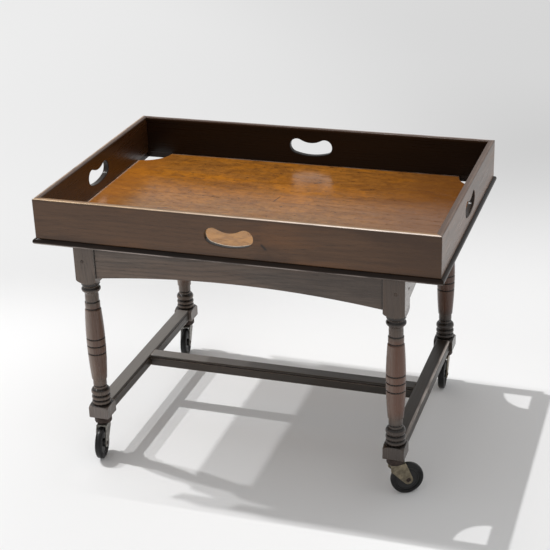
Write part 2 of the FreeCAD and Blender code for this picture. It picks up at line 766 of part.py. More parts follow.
def board_screw_places(low, high):
    """Two screws through each batten into each board."""
    inset = "batten_width / 2"
    edges = []
    for level, way in ((low, 1), (high, -1)):
        limit = f"{way} * -1 * ({BATTEN_HALF} - screw_edge)"
        wanted = f"{level} + {way} * screw_edge"
        pick = max if way > 0 else min
        edges.append(pick(limit, wanted, key=measure))
    return [(f"{side} * ({BATTEN_REACH} - {inset})", edge) for side in (-1, 1) for edge in edges]


def make_board(name, low, high):
    body = new_body(f"tray_floor_{name}")
    plan = new_sketch(body, f"floor_{name}_plan", "XY_Plane", STAND_TOP)
    edge_x = FLOOR_ALONG
    notch_x = f"({FLOOR_ALONG} - notch_radius)"
    scoop = ("notch_radius", -1, False)
    if name == "front":
        notch_y = f"({low} + notch_radius)"
        corners = [(f"-{notch_x}", low), (notch_x, low), (edge_x, notch_y), (edge_x, high),
                   (f"-{edge_x}", high), (f"-{edge_x}", notch_y)]
        arcs = {1: scoop, 5: scoop}
    elif name == "rear":
        notch_y = f"({high} - notch_radius)"
        corners = [(f"-{edge_x}", low), (edge_x, low), (edge_x, notch_y), (notch_x, high),
                   (f"-{notch_x}", high), (f"-{edge_x}", notch_y)]
        arcs = {2: scoop, 4: scoop}
    else:
        corners = [(f"-{edge_x}", low), (edge_x, low), (edge_x, high), (f"-{edge_x}", high)]
        arcs = {}
    draw(plan, corners, arcs)
    board = pad(body, plan, "floor_thick")
    top = measure(f"{STAND_TOP} + floor_thick")
    soften(body, f"floor_{name}_arris", board, lambda edge: lies_at(edge, "Z", top), "floor_round")
    for number, (x, y) in enumerate(board_screw_places(low, high)):
        screw_hole(body, f"floor_{name}_screw_hole_{number}", (x, y, f"{STAND_TOP} - overrun"),
                   f"{SCREW_BITE} + bore_fit + overrun")
    return body


def make_battens():
    """Battens that tie the boards together and drop inside the stand to keep the tray in place."""
    made = []
    screws = []
    screw_foot = f"({STAND_TOP} - batten_thick)"
    for name, side in (("left", -1), ("right", 1)):
        body = new_body(f"tray_batten_{name}")
        middle = (f"{side} * ({BATTEN_REACH} - batten_width / 2)", "0", f"{STAND_TOP} - batten_thick / 2")
        bar = block(body, f"batten_bar_{name}", middle, ("batten_width", f"2 * {BATTEN_HALF}", "batten_thick"))
        foot = measure(screw_foot)
        soften(body, f"batten_round_{name}", bar, lambda edge: lies_at(edge, "Z", foot), "batten_round")
        for board, low, high in BOARDS:
            for number, (x, y) in enumerate(board_screw_places(low, high)):
                if measure(x) * side < 0:
                    continue
                tag = f"{name}_{board}_{number}"
                screw_hole(body, f"batten_hole_{tag}", (x, y, f"{screw_foot} - overrun"),
                           "batten_thick + 2 * overrun")
                sink = body.newObject("PartDesign::SubtractiveCone", f"batten_sink_{tag}")
                set_sizes(sink, Radius1="screw_head / 2 + joint_fit",
                          Radius2="screw_shank / 2 + joint_fit", Height="screw_taper + joint_fit")
                place(sink, x, y, screw_foot)
                screws.append(screw(f"batten_screw_{tag}", f"batten_thick + {SCREW_BITE}", (x, y, screw_foot)))
        made.append(body)
    return made + [group("batten_screws", screws)]


# Castors: a cup and stem in the leg, a king pin, and a swivelling fork with a tyred wheel
def turned_body(label, corners, arcs=()):
    body = new_body(label)
    sketch = new_sketch(body, label + "_section", "XZ_Plane")
    draw(sketch, corners, arcs)
    revolve(body, sketch)
    return body


def make_cup(name, x, y):
    king_bore = "(king_radius + bore_fit)"
    king_top = f"({CUP_FOOT} + king_hold + bore_fit)"
    body = turned_body("castor_cup_" + name, [
        (king_bore, CUP_FOOT),
        ("cup_radius - cup_base_ease", CUP_FOOT),
        ("cup_radius", f"{CUP_FOOT} + cup_base_ease"),
        ("cup_radius", f"{CASTOR_TOP} - cup_lip"),
        ("cup_radius - cup_lip", CASTOR_TOP),
        ("stem_radius", CASTOR_TOP),
        ("stem_radius", f"{CASTOR_TOP} + stem_length"),
        ("0", f"{CASTOR_TOP} + stem_length"),
        ("0", king_top),
        (king_bore, king_top),
    ], {1: ("cup_base_ease", 1, False)})
    place(body, x, y, "0")
    return body


def make_king_pin(name, x, y):
    head_top = f"({CROWN_FOOT} - king_gap)"
    body = turned_body("castor_king_pin_" + name, [
        ("0", f"{head_top} - king_head_thick"),
        ("king_head_radius", f"{head_top} - king_head_thick"),
        ("king_head_radius", head_top),
        ("king_radius", head_top),
        ("king_radius", f"{CUP_FOOT} + king_hold"),
        ("0", f"{CUP_FOOT} + king_hold"),
    ])
    place(body, x, y, "0")
    return body


def make_washer(name, x, y):
    inner = "(king_radius + axle_fit)"
    body = turned_body("castor_washer_" + name, [
        (inner, CROWN_TOP),
        ("washer_radius", CROWN_TOP),
        ("washer_radius", CUP_FOOT),
        (inner, CUP_FOOT),
    ])
    place(body, x, y, "0")
    return body


def make_fork(name, x, y, swivel):
    """A bent strap: a crown under the cup and two cheeks that trail back to the axle."""
    body = new_body("castor_fork_" + name)
    outer = f"({FORK_GAP} + 2 * fork_thick)"
    heel = ("castor_trail - boss_radius * cos(boss_heel_angle)",
            "wheel_radius - boss_radius * sin(boss_heel_angle)")
    toe = ("castor_trail + boss_radius * cos(boss_toe_angle)",
           "wheel_radius + boss_radius * sin(boss_toe_angle)")
    cheek = new_sketch(body, "cheek_" + name, "XZ_Plane")
    draw(cheek, [
        ("-fork_nose", CROWN_TOP),
        ("-fork_nose", f"{CROWN_TOP} - fork_nose_drop"),
        heel,
        toe,
        ("fork_back", CROWN_TOP),
    ], {2: ("boss_radius", 1, False)})
    strap = pad(body, cheek, outer, symmetric=True)
    top = measure(CROWN_TOP)
    soften(body, "crown_bend_" + name, strap,
           lambda edge: lies_at(edge, "Z", top) and runs_along(edge, "x"), "fork_bend")
    slot_high = f"({CROWN_FOOT} + overrun)"
    slot_long = "(2 * (castor_trail + boss_radius + fork_nose))"
    hollow(body, "wheel_slot_" + name, ("0", "0", f"{CROWN_FOOT} - {slot_high} / 2"),
           (slot_long, FORK_GAP, slot_high))
    bore(body, "king_hole_" + name, ("0", "0", f"{CROWN_FOOT} - overrun"), "king_radius + axle_fit",
         "fork_crown_thick + 2 * overrun")
    bore(body, "axle_hole_" + name, ("castor_trail", f"-{outer} / 2 - overrun", "wheel_radius"),
         "axle_radius + bore_fit", f"{outer} + 2 * overrun", ALONG_Y)
    place(body, x, y, "0", Rotation(Vector(0, 0, 1), swivel))
    return body


def wheel_place(body, x, y, swivel_name, swivel):
    """Turns a wheel piece onto the axle, out along the castor's trail."""
    on_axle = Rotation(Vector(0, 0, 1), swivel).multiply(ALONG_Y)
    place(body, f"{x} + castor_trail * cos({swivel_name})", f"{y} + castor_trail * sin({swivel_name})",
          "wheel_radius", on_axle)


def make_axle(name):
    shaft = f"({FORK_GAP} / 2 + fork_thick)"
    tip = f"({shaft} + axle_head_rise)"
    dome = arc_radius("2 * axle_head_radius", "axle_head_rise")
    return turned_body("castor_axle_" + name, [
        ("0", f"-{tip}"),
        ("axle_head_radius", f"-{shaft}"),
        ("axle_radius", f"-{shaft}"),
        ("axle_radius", shaft),
        ("axle_head_radius", shaft),
        ("0", tip),
    ], {0: (dome, 1, False), 4: (dome, 1, False)})


def make_wheel_centre(name):
    bore_radius = "(axle_radius + axle_fit)"
    rim_inner = f"({RIM_RADIUS} - rim_thick)"
    rim_side = "-(tyre_width / 2 - rim_inset)"
    lower = [
        (bore_radius, f"-{HUB_WIDTH} / 2"),
        ("hub_radius", f"-{HUB_WIDTH} / 2"),
        ("hub_radius", "-web_thick / 2"),
        (rim_inner, "-web_thick / 2"),
        (rim_inner, rim_side),
        (RIM_RADIUS, rim_side),
    ]
    upper = [(radius, f"-1 * ({across})") for radius, across in reversed(lower)]
    return turned_body("castor_wheel_" + name, lower + upper)


def make_tyre(name):
    shoulder = "wheel_radius - tyre_round"
    lower = [
        (RIM_RADIUS, "-tyre_width / 2"),
        (shoulder, "-tyre_width / 2"),
        ("wheel_radius", "-tyre_width / 2 + tyre_round"),
    ]
    upper = [(radius, f"-1 * ({across})") for radius, across in reversed(lower)]
    round_side = ("tyre_round", 1, False)
    return turned_body("castor_tyre_" + name, lower + upper, {1: round_side, 3: round_side})


def make_castor(name, side, face):
    x = f"{side} * {LEG_SPAN_ALONG} / 2"
    y = f"{face} * {LEG_SPAN_ACROSS} / 2"
    swivel_name = "swivel_" + name
    swivel = measure(swivel_name)
    fixed = [make_cup(name, x, y), make_king_pin(name, x, y), make_washer(name, x, y)]
    fork = make_fork(name, x, y, swivel)
    rolling = [make_axle(name), make_wheel_centre(name), make_tyre(name)]
    for piece in rolling:
        wheel_place(piece, x, y, swivel_name, swivel)
    return fixed + [fork] + rolling


# The whole table
def make_stand():
    made = [make_leg(*corner) for corner in CORNERS]
    long_set = f"({LEG_SPAN_ACROSS} / 2 + {APRON_SET})"
    short_set = f"({LEG_SPAN_ALONG} / 2 + {APRON_SET})"
    for name, face in (("front", -1), ("back", 1)):
        made.append(make_apron("apron_" + name, LEG_SPAN_ALONG, LONG_TENON, "long_peg_set",
                               "0", f"{face} * {long_set}", 0))
    for name, side in (("left", -1), ("right", 1)):
        made.append(make_apron("apron_" + name, LEG_SPAN_ACROSS, SHORT_TENON, "short_peg_set",
                               f"{side} * {short_set}", "0", 90))
    return made + [make_pegs()] + make_stretchers()


def make_tray():
    made = [make_wall(*side) for side in SIDES]
    made += [make_moulding(*side) for side in SIDES]
    made.append(make_moulding_pins())
    made += [make_board(*board) for board in BOARDS]
    return made + make_battens()


pieces = make_stand() + make_tray()
for corner in CORNERS:
    pieces += make_castor(*corner)
doc.recompute()

# Nothing is written unless every object and every piece is sound
for thing in doc.Objects:
    if "Invalid" in thing.State or "Error" in thing.State:
        raise RuntimeError(f"{thing.Label} did not recompute: {thing.State}")
for piece in pieces:
    if piece.Shape.isNull() or not piece.Shape.isValid():
        raise RuntimeError(f"{piece.Label} has no sound shape")

os.makedirs("parts", exist_ok=True)
for piece in pieces:
    piece.Shape.exportStep(f"parts/{piece.Label}.step")
    print(piece.Label, len(piece.Shape.Solids), "solids", round(piece.Shape.Volume / 1000, 1), "cm3")
print(len(pieces), "pieces")
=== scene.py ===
# %% [markdown]
# # A butler's tray table
#
# The table is an oak tray with high walls and a hand hole in each, on a turned stand that runs on
# four castors. Its solid pieces arrive ready made, in metres and in their places, so nothing here
# moves them. This lesson adds what solids lack: the grain and stain of old oak, the wear on its
# edges, aged brass and rubber, small fittings with real detail, a floor, lamps and a camera.

# %% Load the table
import json
import math

import bmesh
import bpy
from mathutils import Euler, Matrix, Vector


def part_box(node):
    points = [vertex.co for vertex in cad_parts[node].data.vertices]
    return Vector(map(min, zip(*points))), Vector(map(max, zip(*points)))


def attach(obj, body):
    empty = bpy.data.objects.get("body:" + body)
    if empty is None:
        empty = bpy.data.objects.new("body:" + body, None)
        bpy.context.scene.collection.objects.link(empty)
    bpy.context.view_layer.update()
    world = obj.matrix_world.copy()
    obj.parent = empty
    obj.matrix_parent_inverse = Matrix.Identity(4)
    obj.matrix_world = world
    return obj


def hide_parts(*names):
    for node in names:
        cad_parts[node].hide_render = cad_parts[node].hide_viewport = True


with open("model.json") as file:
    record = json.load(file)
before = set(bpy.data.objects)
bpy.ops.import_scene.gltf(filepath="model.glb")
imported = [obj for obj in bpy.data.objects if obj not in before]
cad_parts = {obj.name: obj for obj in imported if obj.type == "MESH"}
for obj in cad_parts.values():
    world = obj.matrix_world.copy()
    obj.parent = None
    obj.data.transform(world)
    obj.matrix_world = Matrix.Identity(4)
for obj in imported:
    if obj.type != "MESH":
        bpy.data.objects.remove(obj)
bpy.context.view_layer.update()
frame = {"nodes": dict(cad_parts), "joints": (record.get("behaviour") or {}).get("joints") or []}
NODES = frame["nodes"]
CORNERS = ("front_left", "front_right", "back_left", "back_right")
SIDES = ("front", "right", "back", "left")
ALONG = {"front": "x", "right": "y", "back": "x", "left": "y"}
MM = 0.001

# %% [markdown]
# ## Tools for building finishes
#
# A finish is a tree of shader nodes. They could be placed by hand in the shader editor, but a script
# can be read and repeated. These few helpers keep each finish short: one adds any node and joins its
# sockets, one starts a group, and the others are the sums that every finish needs. A socket knows
# which tree it belongs to, so the sums need only their values.

# %% Node helpers
def add(tree, kind, inputs=None, **settings):
    """One shader node. Its settings come first, then a value or a socket for each input."""
    node = tree.nodes.new("ShaderNode" + kind)
    for name, value in settings.items():
        setattr(node, name, value)
    for key, value in (inputs or {}).items():
        if isinstance(value, bpy.types.NodeSocket):
            tree.links.new(value, node.inputs[key])
        else:
            node.inputs[key].default_value = value
    return node


def new_group(name, inputs, outputs):
    """An empty node group with named sockets, which are returned for wiring."""
    tree = bpy.data.node_groups.new(name, "ShaderNodeTree")
    for way, sockets in (("INPUT", inputs), ("OUTPUT", outputs)):
        for label, kind in sockets.items():
            tree.interface.new_socket(label, in_out=way, socket_type="NodeSocket" + kind)
    given = tree.nodes.new("NodeGroupInput").outputs
    result = tree.nodes.new("NodeGroupOutput").inputs
    return tree, given, result


def tree_of(*values):
    """The tree of the first socket among some values."""
    return next(value.id_data for value in values if isinstance(value, bpy.types.NodeSocket))


def sum_of(operation, *values):
    """A Math node's result, such as MULTIPLY or ADD of two values."""
    return add(tree_of(*values), "Math", dict(enumerate(values)), operation=operation).outputs[0]


def times(first, second):
    return sum_of("MULTIPLY", first, second)


def larger(first, second):
    return sum_of("MAXIMUM", first, second)


def plus(value, factor, rest):
    """A value times a factor, added to the rest."""
    return sum_of("MULTIPLY_ADD", value, factor, rest)


def ramp(value, low, high, start=0.0, end=1.0):
    """Eases from start to end as a value goes from low to high."""
    sockets = {"Value": value, "From Min": low, "From Max": high, "To Min": start, "To Max": end}
    return add(value.id_data, "MapRange", sockets, interpolation_type="SMOOTHSTEP").outputs["Result"]


def between(value, fade_in, fade_out):
    """1 between two places, easing in over one pair of values and out over another."""
    return times(ramp(value, *fade_in), ramp(value, *fade_out))


def blend(share, first, second):
    """Two colours mixed by a share from 0 to 1."""
    return add(share.id_data, "Mix", {0: share, 6: first, 7: second}, data_type="RGBA").outputs[2]


def coat(colour, mask, most, tone):
    """A tone laid over a colour where a mask is 1, and there no thicker than a share."""
    return blend(times(mask, most), colour, tone)


def stretched(place, scale):
    """A place multiplied along each axis, which makes a noise long or fine."""
    return add(place.id_data, "VectorMath", {0: place, 1: scale}, operation="MULTIPLY").outputs[0]


def noise(place, along, across, detail, rough=0.55):
    """A cloudy value around a half, with its own scale along the grain and across it."""
    sockets = {"Vector": stretched(place, (along, across, across)), "Scale": 1.0,
               "Detail": detail, "Roughness": rough}
    return add(place.id_data, "TexNoise", sockets).outputs[0]


def facing(tree, way):
    """1 where the surface faces a way, 0 where it is side on and -1 where it faces back."""
    normal = add(tree, "NewGeometry").outputs["Normal"]
    return add(tree, "VectorMath", {0: normal, 1: way}, operation="DOT_PRODUCT").outputs["Value"]


def rest_point(tree):
    """A point's place while the table is at rest, in metres."""
    return add(tree, "TexCoord").outputs["Object"]


def use(group, sockets):
    """A shared group placed in a finish, as its outputs."""
    return add(tree_of(*sockets.values()), "Group", sockets, node_tree=group).outputs


print("helpers ready")

# %% [markdown]
# ## Oak
#
# Oak shows its year rings as bands, its fibres as fine streaks along the grain, and its pores as short
# dark dashes that crowd along each ring. A photograph of wood could be wrapped round each piece, but it
# would show seams at the ends and the same knot twice. Here the figure is worked out in three
# dimensions, as if each piece were sawn from a log: the rings are distances from a wavering heart
# line, so a face, an edge and an end all agree. The grain runs along X of the place that is given.

# %% Oak figure group
PORE_BROWN = (0.012, 0.007, 0.004, 1)


def make_oak_group():
    tree, given, result = new_group("oak", {
        "Place": "Vector", "Pale": "Color", "Deep": "Color", "Warm": "Color", "Ring Width": "Float",
        "Heart": "Float", "Figure": "Float", "Grain": "Float", "Mottle": "Float",
    }, {"Color": "Color", "Fibre": "Float", "Height": "Float"})
    place = given["Place"]

    # Rings round a heart line that leans and wavers
    waver = {"Vector": stretched(place, (2.2, 9, 9)), "Scale": 1.0, "Detail": 2.0}
    sway = add(tree, "TexNoise", waver).outputs[1]
    centred = add(tree, "VectorMath", {0: sway, 1: (-0.5, -0.5, -0.5)}).outputs[0]
    shift = add(tree, "VectorMath", {0: centred, "Scale": 0.045}, operation="SCALE").outputs[0]
    bent = add(tree, "VectorMath", {0: place, 1: shift}).outputs[0]
    leaning = add(tree, "Mapping", {"Vector": bent, "Rotation": (0, 0.05, 0.03)}).outputs[0]
    heart = add(tree, "CombineXYZ", {"Z": given["Heart"]}).outputs[0]
    lowered = add(tree, "VectorMath", {0: leaning, 1: heart}).outputs[0]
    across = stretched(lowered, (0, 1, 1))
    radius = add(tree, "VectorMath", {0: across}, operation="LENGTH").outputs["Value"]
    ring = sum_of("FRACT", sum_of("DIVIDE", radius, given["Ring Width"]))
    porous = larger(ramp(ring, 0.0, 0.5, 1.0, 0.0), ramp(ring, 0.9, 1.0))

    # Streaks, clouds and pores
    fibre = noise(place, 9, 340, 4.0, 0.65)
    streak = noise(place, 3.2, 75, 4.0, 0.6)
    flame = noise(place, 13, 120, 3.0, 0.6)
    cloud = noise(place, 6, 22, 4.0, 0.62)
    warmth = noise(place, 3.6, 24, 3.0, 0.55)
    dash = noise(place, 60, 1300, 2.0, 0.5)
    pore = times(ramp(dash, 0.58, 0.68), ramp(porous, 0.0, 1.0, 0.25, 1.0))

    # Colours, from the lightest layer to the darkest
    tone = times(ramp(fibre, 0.34, 0.68), 0.4)
    tone = plus(ramp(streak, 0.36, 0.66), 0.42, tone)
    tone = plus(ramp(flame, 0.4, 0.68), 0.3, tone)
    tone = plus(sum_of("SUBTRACT", tone, 0.5), given["Grain"], 0.5)
    base = blend(tone, given["Pale"], given["Deep"])
    base = coat(base, ramp(warmth, 0.44, 0.64), given["Mottle"], given["Warm"])
    base = coat(base, porous, given["Figure"], given["Deep"])
    base = coat(base, ramp(cloud, 0.5, 0.7), given["Mottle"], given["Deep"])
    base = coat(base, pore, 0.7, PORE_BROWN)
    relief = plus(fibre, 0.5, times(porous, -0.35))
    relief = plus(pore, -1.0, relief)
    tree.links.new(base, result["Color"])
    tree.links.new(fibre, result["Fibre"])
    tree.links.new(relief, result["Height"])
    return tree


OAK = make_oak_group()


def oak_figure(place, tones, ring_width, heart, figure, mottle=0.5, grain=0.8):
    """The oak group for one piece: its pale, deep and warm tones, its rings and its effects."""
    pale, deep, warm = tones
    return use(OAK, {"Place": place, "Pale": pale, "Deep": deep, "Warm": warm, "Ring Width": ring_width,
                     "Heart": heart, "Figure": figure, "Mottle": mottle, "Grain": grain})


print("group", OAK.name, len(OAK.nodes), "nodes")

# %% [markdown]
# ## Wear, grime and painted shade
#
# Hands and feet rub the stain off the corners of a table, and polish and dust stay in its hollows. A
# painter would brush both on by eye. Two nodes find those places by themselves: Bevel gives the normal
# that a slightly rounded edge would have, so where it differs from the true normal there is an edge,
# and Ambient Occlusion tells how shut in a point is. What it darkens is dirt and painted shade at once,
# since the hollows are where shade falls. Both are broken up by noise and shared by most of the
# finishes.

# %% Worn edge group, and grime with painted shade group
def make_wear_group():
    tree, given, result = new_group("edge wear", {
        "Place": "Vector", "Reach": "Float", "Patchiness": "Float",
    }, {"Wear": "Float", "Normal": "Vector"})
    eased = add(tree, "Bevel", {"Radius": given["Reach"]}, samples=6).outputs[0]
    edge = ramp(facing(tree, eased), 0.99, 0.8)
    rubbed = ramp(noise(given["Place"], 28, 90, 4.0, 0.65), 0.38, 0.62)
    kept = sum_of("SUBTRACT", 1.0, given["Patchiness"])
    share = plus(rubbed, given["Patchiness"], kept)
    tree.links.new(times(edge, share), result["Wear"])
    tree.links.new(eased, result["Normal"])
    return tree


def make_grime_and_shade_group():
    tree, given, result = new_group("grime_and_shade", {"Place": "Vector", "Reach": "Float"}, {"Grime And Shade": "Float"})
    # Ambient occlusion darkens the hollows: dirt and painted shade together
    open_sky = add(tree, "AmbientOcclusion", {"Distance": given["Reach"]}, samples=8, only_local=True)
    shut_in = ramp(open_sky.outputs["AO"], 0.92, 0.35)
    smudge = ramp(noise(given["Place"], 70, 70, 3.0), 0.25, 0.7, 0.55, 1.0)
    tree.links.new(times(shut_in, smudge), result["Grime And Shade"])
    return tree


WEAR = make_wear_group()
GRIME_AND_SHADE = make_grime_and_shade_group()
print("groups", WEAR.name, "and", GRIME_AND_SHADE.name)

# %% [markdown]
# ## Laying the grain
#
# Every board has its own piece of tree in it. The same oak group could be used as it stands, but then
# the figure would run on from a wall into the next one. So each piece turns the grain to its own
# length and takes its figure from another part of the log. Marks that belong to one spot, such as a
# knot or a scratch, are short soft strokes laid at a place in the table's own coordinates.

# %% Grain helpers
GRAIN_TURNS = {"x": (0, 0, 0), "y": (0, 0, -math.pi / 2), "z": (0, math.pi / 2, 0)}
NUMBERS = {name: number for number, name in enumerate(sorted(NODES))}
LOG_STEP = 3.17
HEART_STEP = 0.011
UP, RIGHT = (0, 0, 1), (1, 0, 0)


def grain_place(tree, name, along):
    """The piece's own coordinates, from its middle, with X along the grain."""
    turn = Euler(GRAIN_TURNS[along])
    number = NUMBERS[name]
    own = Vector((LOG_STEP * number, HEART_STEP * (number % 3 - 1), HEART_STEP * (number % 5 - 2)))
    low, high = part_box(name)
    start = own - turn.to_matrix() @ ((low + high) / 2)
    sockets = {"Vector": rest_point(tree), "Rotation": turn, "Location": start}
    return add(tree, "Mapping", sockets).outputs[0]


def rest_place(tree):
    """X, Y and Z of a point's place at rest."""
    return add(tree, "SeparateXYZ", {0: rest_point(tree)}).outputs


def short_of(edge, insets):
    """Places that lie short of an edge, each by its inset."""
    return [edge - inset for inset in insets]


def stroke(across, along, middle, length, width, turn):
    """A soft mark in two coordinates: its middle, length and width in metres, and turn in degrees."""
    cos, sin = math.cos(math.radians(turn)), math.sin(math.radians(turn))
    right = sum_of("SUBTRACT", across, middle[0])
    up = sum_of("SUBTRACT", along, middle[1])
    on = plus(right, cos, times(up, sin))
    off = plus(up, cos, times(right, -sin))
    ends = ramp(sum_of("ABSOLUTE", on), length / 4, length / 2, 1.0, 0.0)
    return times(ends, ramp(sum_of("ABSOLUTE", off), 0.0, width / 2, 1.0, 0.0))


def new_material(name):
    material = bpy.data.materials.new(name)
    material.use_nodes = True
    material.node_tree.nodes.clear()
    return material, material.node_tree


def surface(colour, roughness, height, relief, normal=None, **plain):
    """The shader: what varies comes in as sockets, and what is the same all over is set on it."""
    tree = colour.id_data
    sockets = {"Height": height, "Distance": relief}
    if normal is not None:
        sockets["Normal"] = normal
    bump = add(tree, "Bump", sockets).outputs[0]
    shader = add(tree, "BsdfPrincipled", {"Base Color": colour, "Roughness": roughness, "Normal": bump})
    for name, value in plain.items():
        shader.inputs[name.replace("_", " ")].default_value = value
    add(tree, "OutputMaterial", {"Surface": shader.outputs[0]})
    return shader


def paint(name, material):
    """Puts a finish on one of the ready made pieces."""
    slots = NODES[name].data.materials
    slots.clear()
    slots.append(material)


print("pieces numbered", len(NUMBERS))

# %% [markdown]
# ## The stand's oak
#
# The legs, aprons and stretchers are stained a grey brown that has faded, with fine dark grain. The
# turned bellies of the legs are redder where hands polish them, and the cuts between the rings are
# black with old wax. Dirt in a groove could be left to the grime and painted shade group, but a V cut
# is too open for it, so the wax is drawn at the heights where a turner's tool went in, measured up
# from the leg's foot. The stand is painted darker towards its right end as painted shade, and the
# stretchers darker than the legs as painted shade under the tray. The stretchers' tops are paler with
# dust and painted sheen, each belly has a painted highlight, the back legs have painted shade, the
# right faces high on the stand a painted glare, and a painted shadow lies where aprons meet legs. One
# function makes the finish for any piece, helped by one for legs alone and one for stretchers alone.

# %% Wax lines on the turned legs
LEG_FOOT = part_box("leg_front_left")[0].z
RING_JOINTS = (26.5, 35.5, 45.5, 58.5, 275.0, 283.0)
FINE_CUTS = (65.4, 137.1, 153.4, 168.8, 231.5, 246.0)
JOINT_WIDTH = 3.4 * MM
CUT_WIDTH = 2.0 * MM


def make_wax_group():
    tree, given, result = new_group("wax lines", {"Height": "Float"}, {"Wax": "Float"})
    wax = 0.0
    for heights, width in ((RING_JOINTS, JOINT_WIDTH), (FINE_CUTS, CUT_WIDTH)):
        for height in heights:
            above = sum_of("SUBTRACT", given["Height"], LEG_FOOT + height * MM)
            away = sum_of("ABSOLUTE", above)
            wax = larger(wax, ramp(away, width * 0.35, width, 1.0, 0.0))
    tree.links.new(wax, result["Wax"])
    return tree


WAX = make_wax_group()
print("group", WAX.name, len(RING_JOINTS) + len(FINE_CUTS), "lines")

# %% Stain on the legs
BELLY_RED = (0.118, 0.046, 0.024, 1)
DEEP_RED = (0.05, 0.019, 0.01, 1)
RING_BROWN = (0.028, 0.02, 0.016, 1)
FOOT_GREY = (0.17, 0.15, 0.14, 1)
BELLY_HIGHLIGHT_GREY = (0.3, 0.255, 0.22, 1)
HIGHLIGHT_WAY = (-0.6, -0.8, 0.0)
# Heights in metres, between which a stain fades in and out
BELLY = ((0.158, 0.185), (0.332, 0.315))
LOW_RINGS = ((0.108, 0.112), (0.16, 0.15))
HIGH_RINGS = ((0.34, 0.352), (0.375, 0.365))
FOOT_BLOCK = (0.115, 0.105)
BACK_LEGS = (0.0, 0.18)


def leg_stain(tree, at, fibre, darker, colour):
    """Red bellies with a painted highlight on their front left side, dark rings, grey feet, and painted
    shade deepest on the back right leg.
    """
    height = at["Z"]
    polished = between(height, *BELLY)
    colour = coat(colour, polished, ramp(darker, 0.0, 1.0, 0.45, 0.78), BELLY_RED)
    rings = larger(between(height, *LOW_RINGS), between(height, *HIGH_RINGS))
    colour = coat(colour, rings, ramp(darker, 0.0, 1.0, 0.15, 0.6), RING_BROWN)
    # Painted highlight: a pale grey streak down each belly where it faces front left
    belly_highlight = times(ramp(facing(tree, HIGHLIGHT_WAY), 0.6, 0.98), ramp(fibre, 0.35, 0.65, 0.25, 0.5))
    belly_highlight = times(belly_highlight, ramp(darker, 0.0, 1.0, 1.0, 0.6))
    colour = coat(colour, belly_highlight, polished, BELLY_HIGHLIGHT_GREY)
    # Painted shade: the feet go from grey at the left to dark brown at the right
    foot_tone = blend(darker, FOOT_GREY, RING_BROWN)
    colour = blend(ramp(height, *FOOT_BLOCK, 0.0, 0.6), colour, foot_tone)
    # Painted shade on the back legs, deepest on the back right one
    back_shade = ramp(at["Y"], *BACK_LEGS, 0.0, 0.6)
    return coat(colour, darker, back_shade, blend(polished, RING_BROWN, DEEP_RED))


print("leg stain up to", BELLY[1][0], "m")

# %% Dust with painted sheen, and a rubbed and highlighted edge, on the stretchers
DUST_AND_SHEEN_GREY = (0.24, 0.222, 0.205, 1)
RAIL_RUB_AND_HIGHLIGHT = (0.62, 0.55, 0.5, 1)
PALE_EDGE_SIDE = (5.0 * MM, 2.5 * MM)
PALE_EDGE_TOP = (8.0 * MM, 5.0 * MM)


def stretcher_wear(tree, name, place, at, darker, colour):
    """Dust and painted sheen on top, most of it to the left, and on the right stretcher a pale upper
    edge, rubbed and a painted highlight.
    """
    # Dust and painted sheen on the upward faces, more at the left
    greyed = ramp(facing(tree, UP), 0.75, 0.95)
    colour = coat(colour, greyed, ramp(darker, 0.0, 1.0, 0.62, 0.02), DUST_AND_SHEEN_GREY)
    if name == "stretcher_right":
        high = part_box(name)[1]
        # A pale upper right edge: rubbed wood and a painted highlight
        pale_edge = times(ramp(at["X"], *short_of(high.x, PALE_EDGE_SIDE)),
                       ramp(at["Z"], *short_of(high.z, PALE_EDGE_TOP)))
        patchy = ramp(noise(place, 12, 90, 4.0), 0.35, 0.6, 0.3, 0.9)
        colour = coat(colour, pale_edge, patchy, RAIL_RUB_AND_HIGHLIGHT)
    return colour


print("dust and knocks for three stretchers")

# %% Stand finish
STAND_TONES = ((0.18, 0.133, 0.103, 1), (0.058, 0.042, 0.033, 1), (0.165, 0.098, 0.062, 1))
# The stretchers are painted darker than the legs and aprons, as painted shade under the tray
RAIL_SHADE_TONES = ((0.056, 0.042, 0.031, 1), (0.017, 0.013, 0.009, 1), (0.05, 0.03, 0.018, 1))
GLARE_GREY = (0.36, 0.33, 0.31, 1)
BLACK_BROWN = (0.01, 0.007, 0.005, 1)
BARE_OAK = (0.38, 0.29, 0.22, 1)
TOP_BLOCK = (0.376, 0.392)
RIGHT_SHADE_SPAN = (-0.25, 0.33)
SHOULDER_SHADOW = (3.2 * MM, 1.4 * MM)
# Where the aprons meet the legs, as distances from the table's middle
LEG_SHOULDER = {"X": -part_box("leg_front_left")[1].x, "Y": -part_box("leg_front_left")[1].y}
# For each kind: tones, figure, then reach, patchiness and strength of its worn edges, and its roughness
STAND_KINDS = {
    "leg": (STAND_TONES, (0.006, 0.07, 0.12, 0.5, 0.35), (0.0016, 0.7, 0.5), (0.17, 0.3)),
    "apron": (STAND_TONES, (0.0075, 0.03, 0.4, 0.5, 1.0), (0.0016, 0.7, 0.5), (0.17, 0.3)),
    "stretcher": (RAIL_SHADE_TONES, (0.0045, 0.045, 0.25, 0.5, 0.6), (0.0022, 0.4, 0.9), (0.34, 0.48)),
}


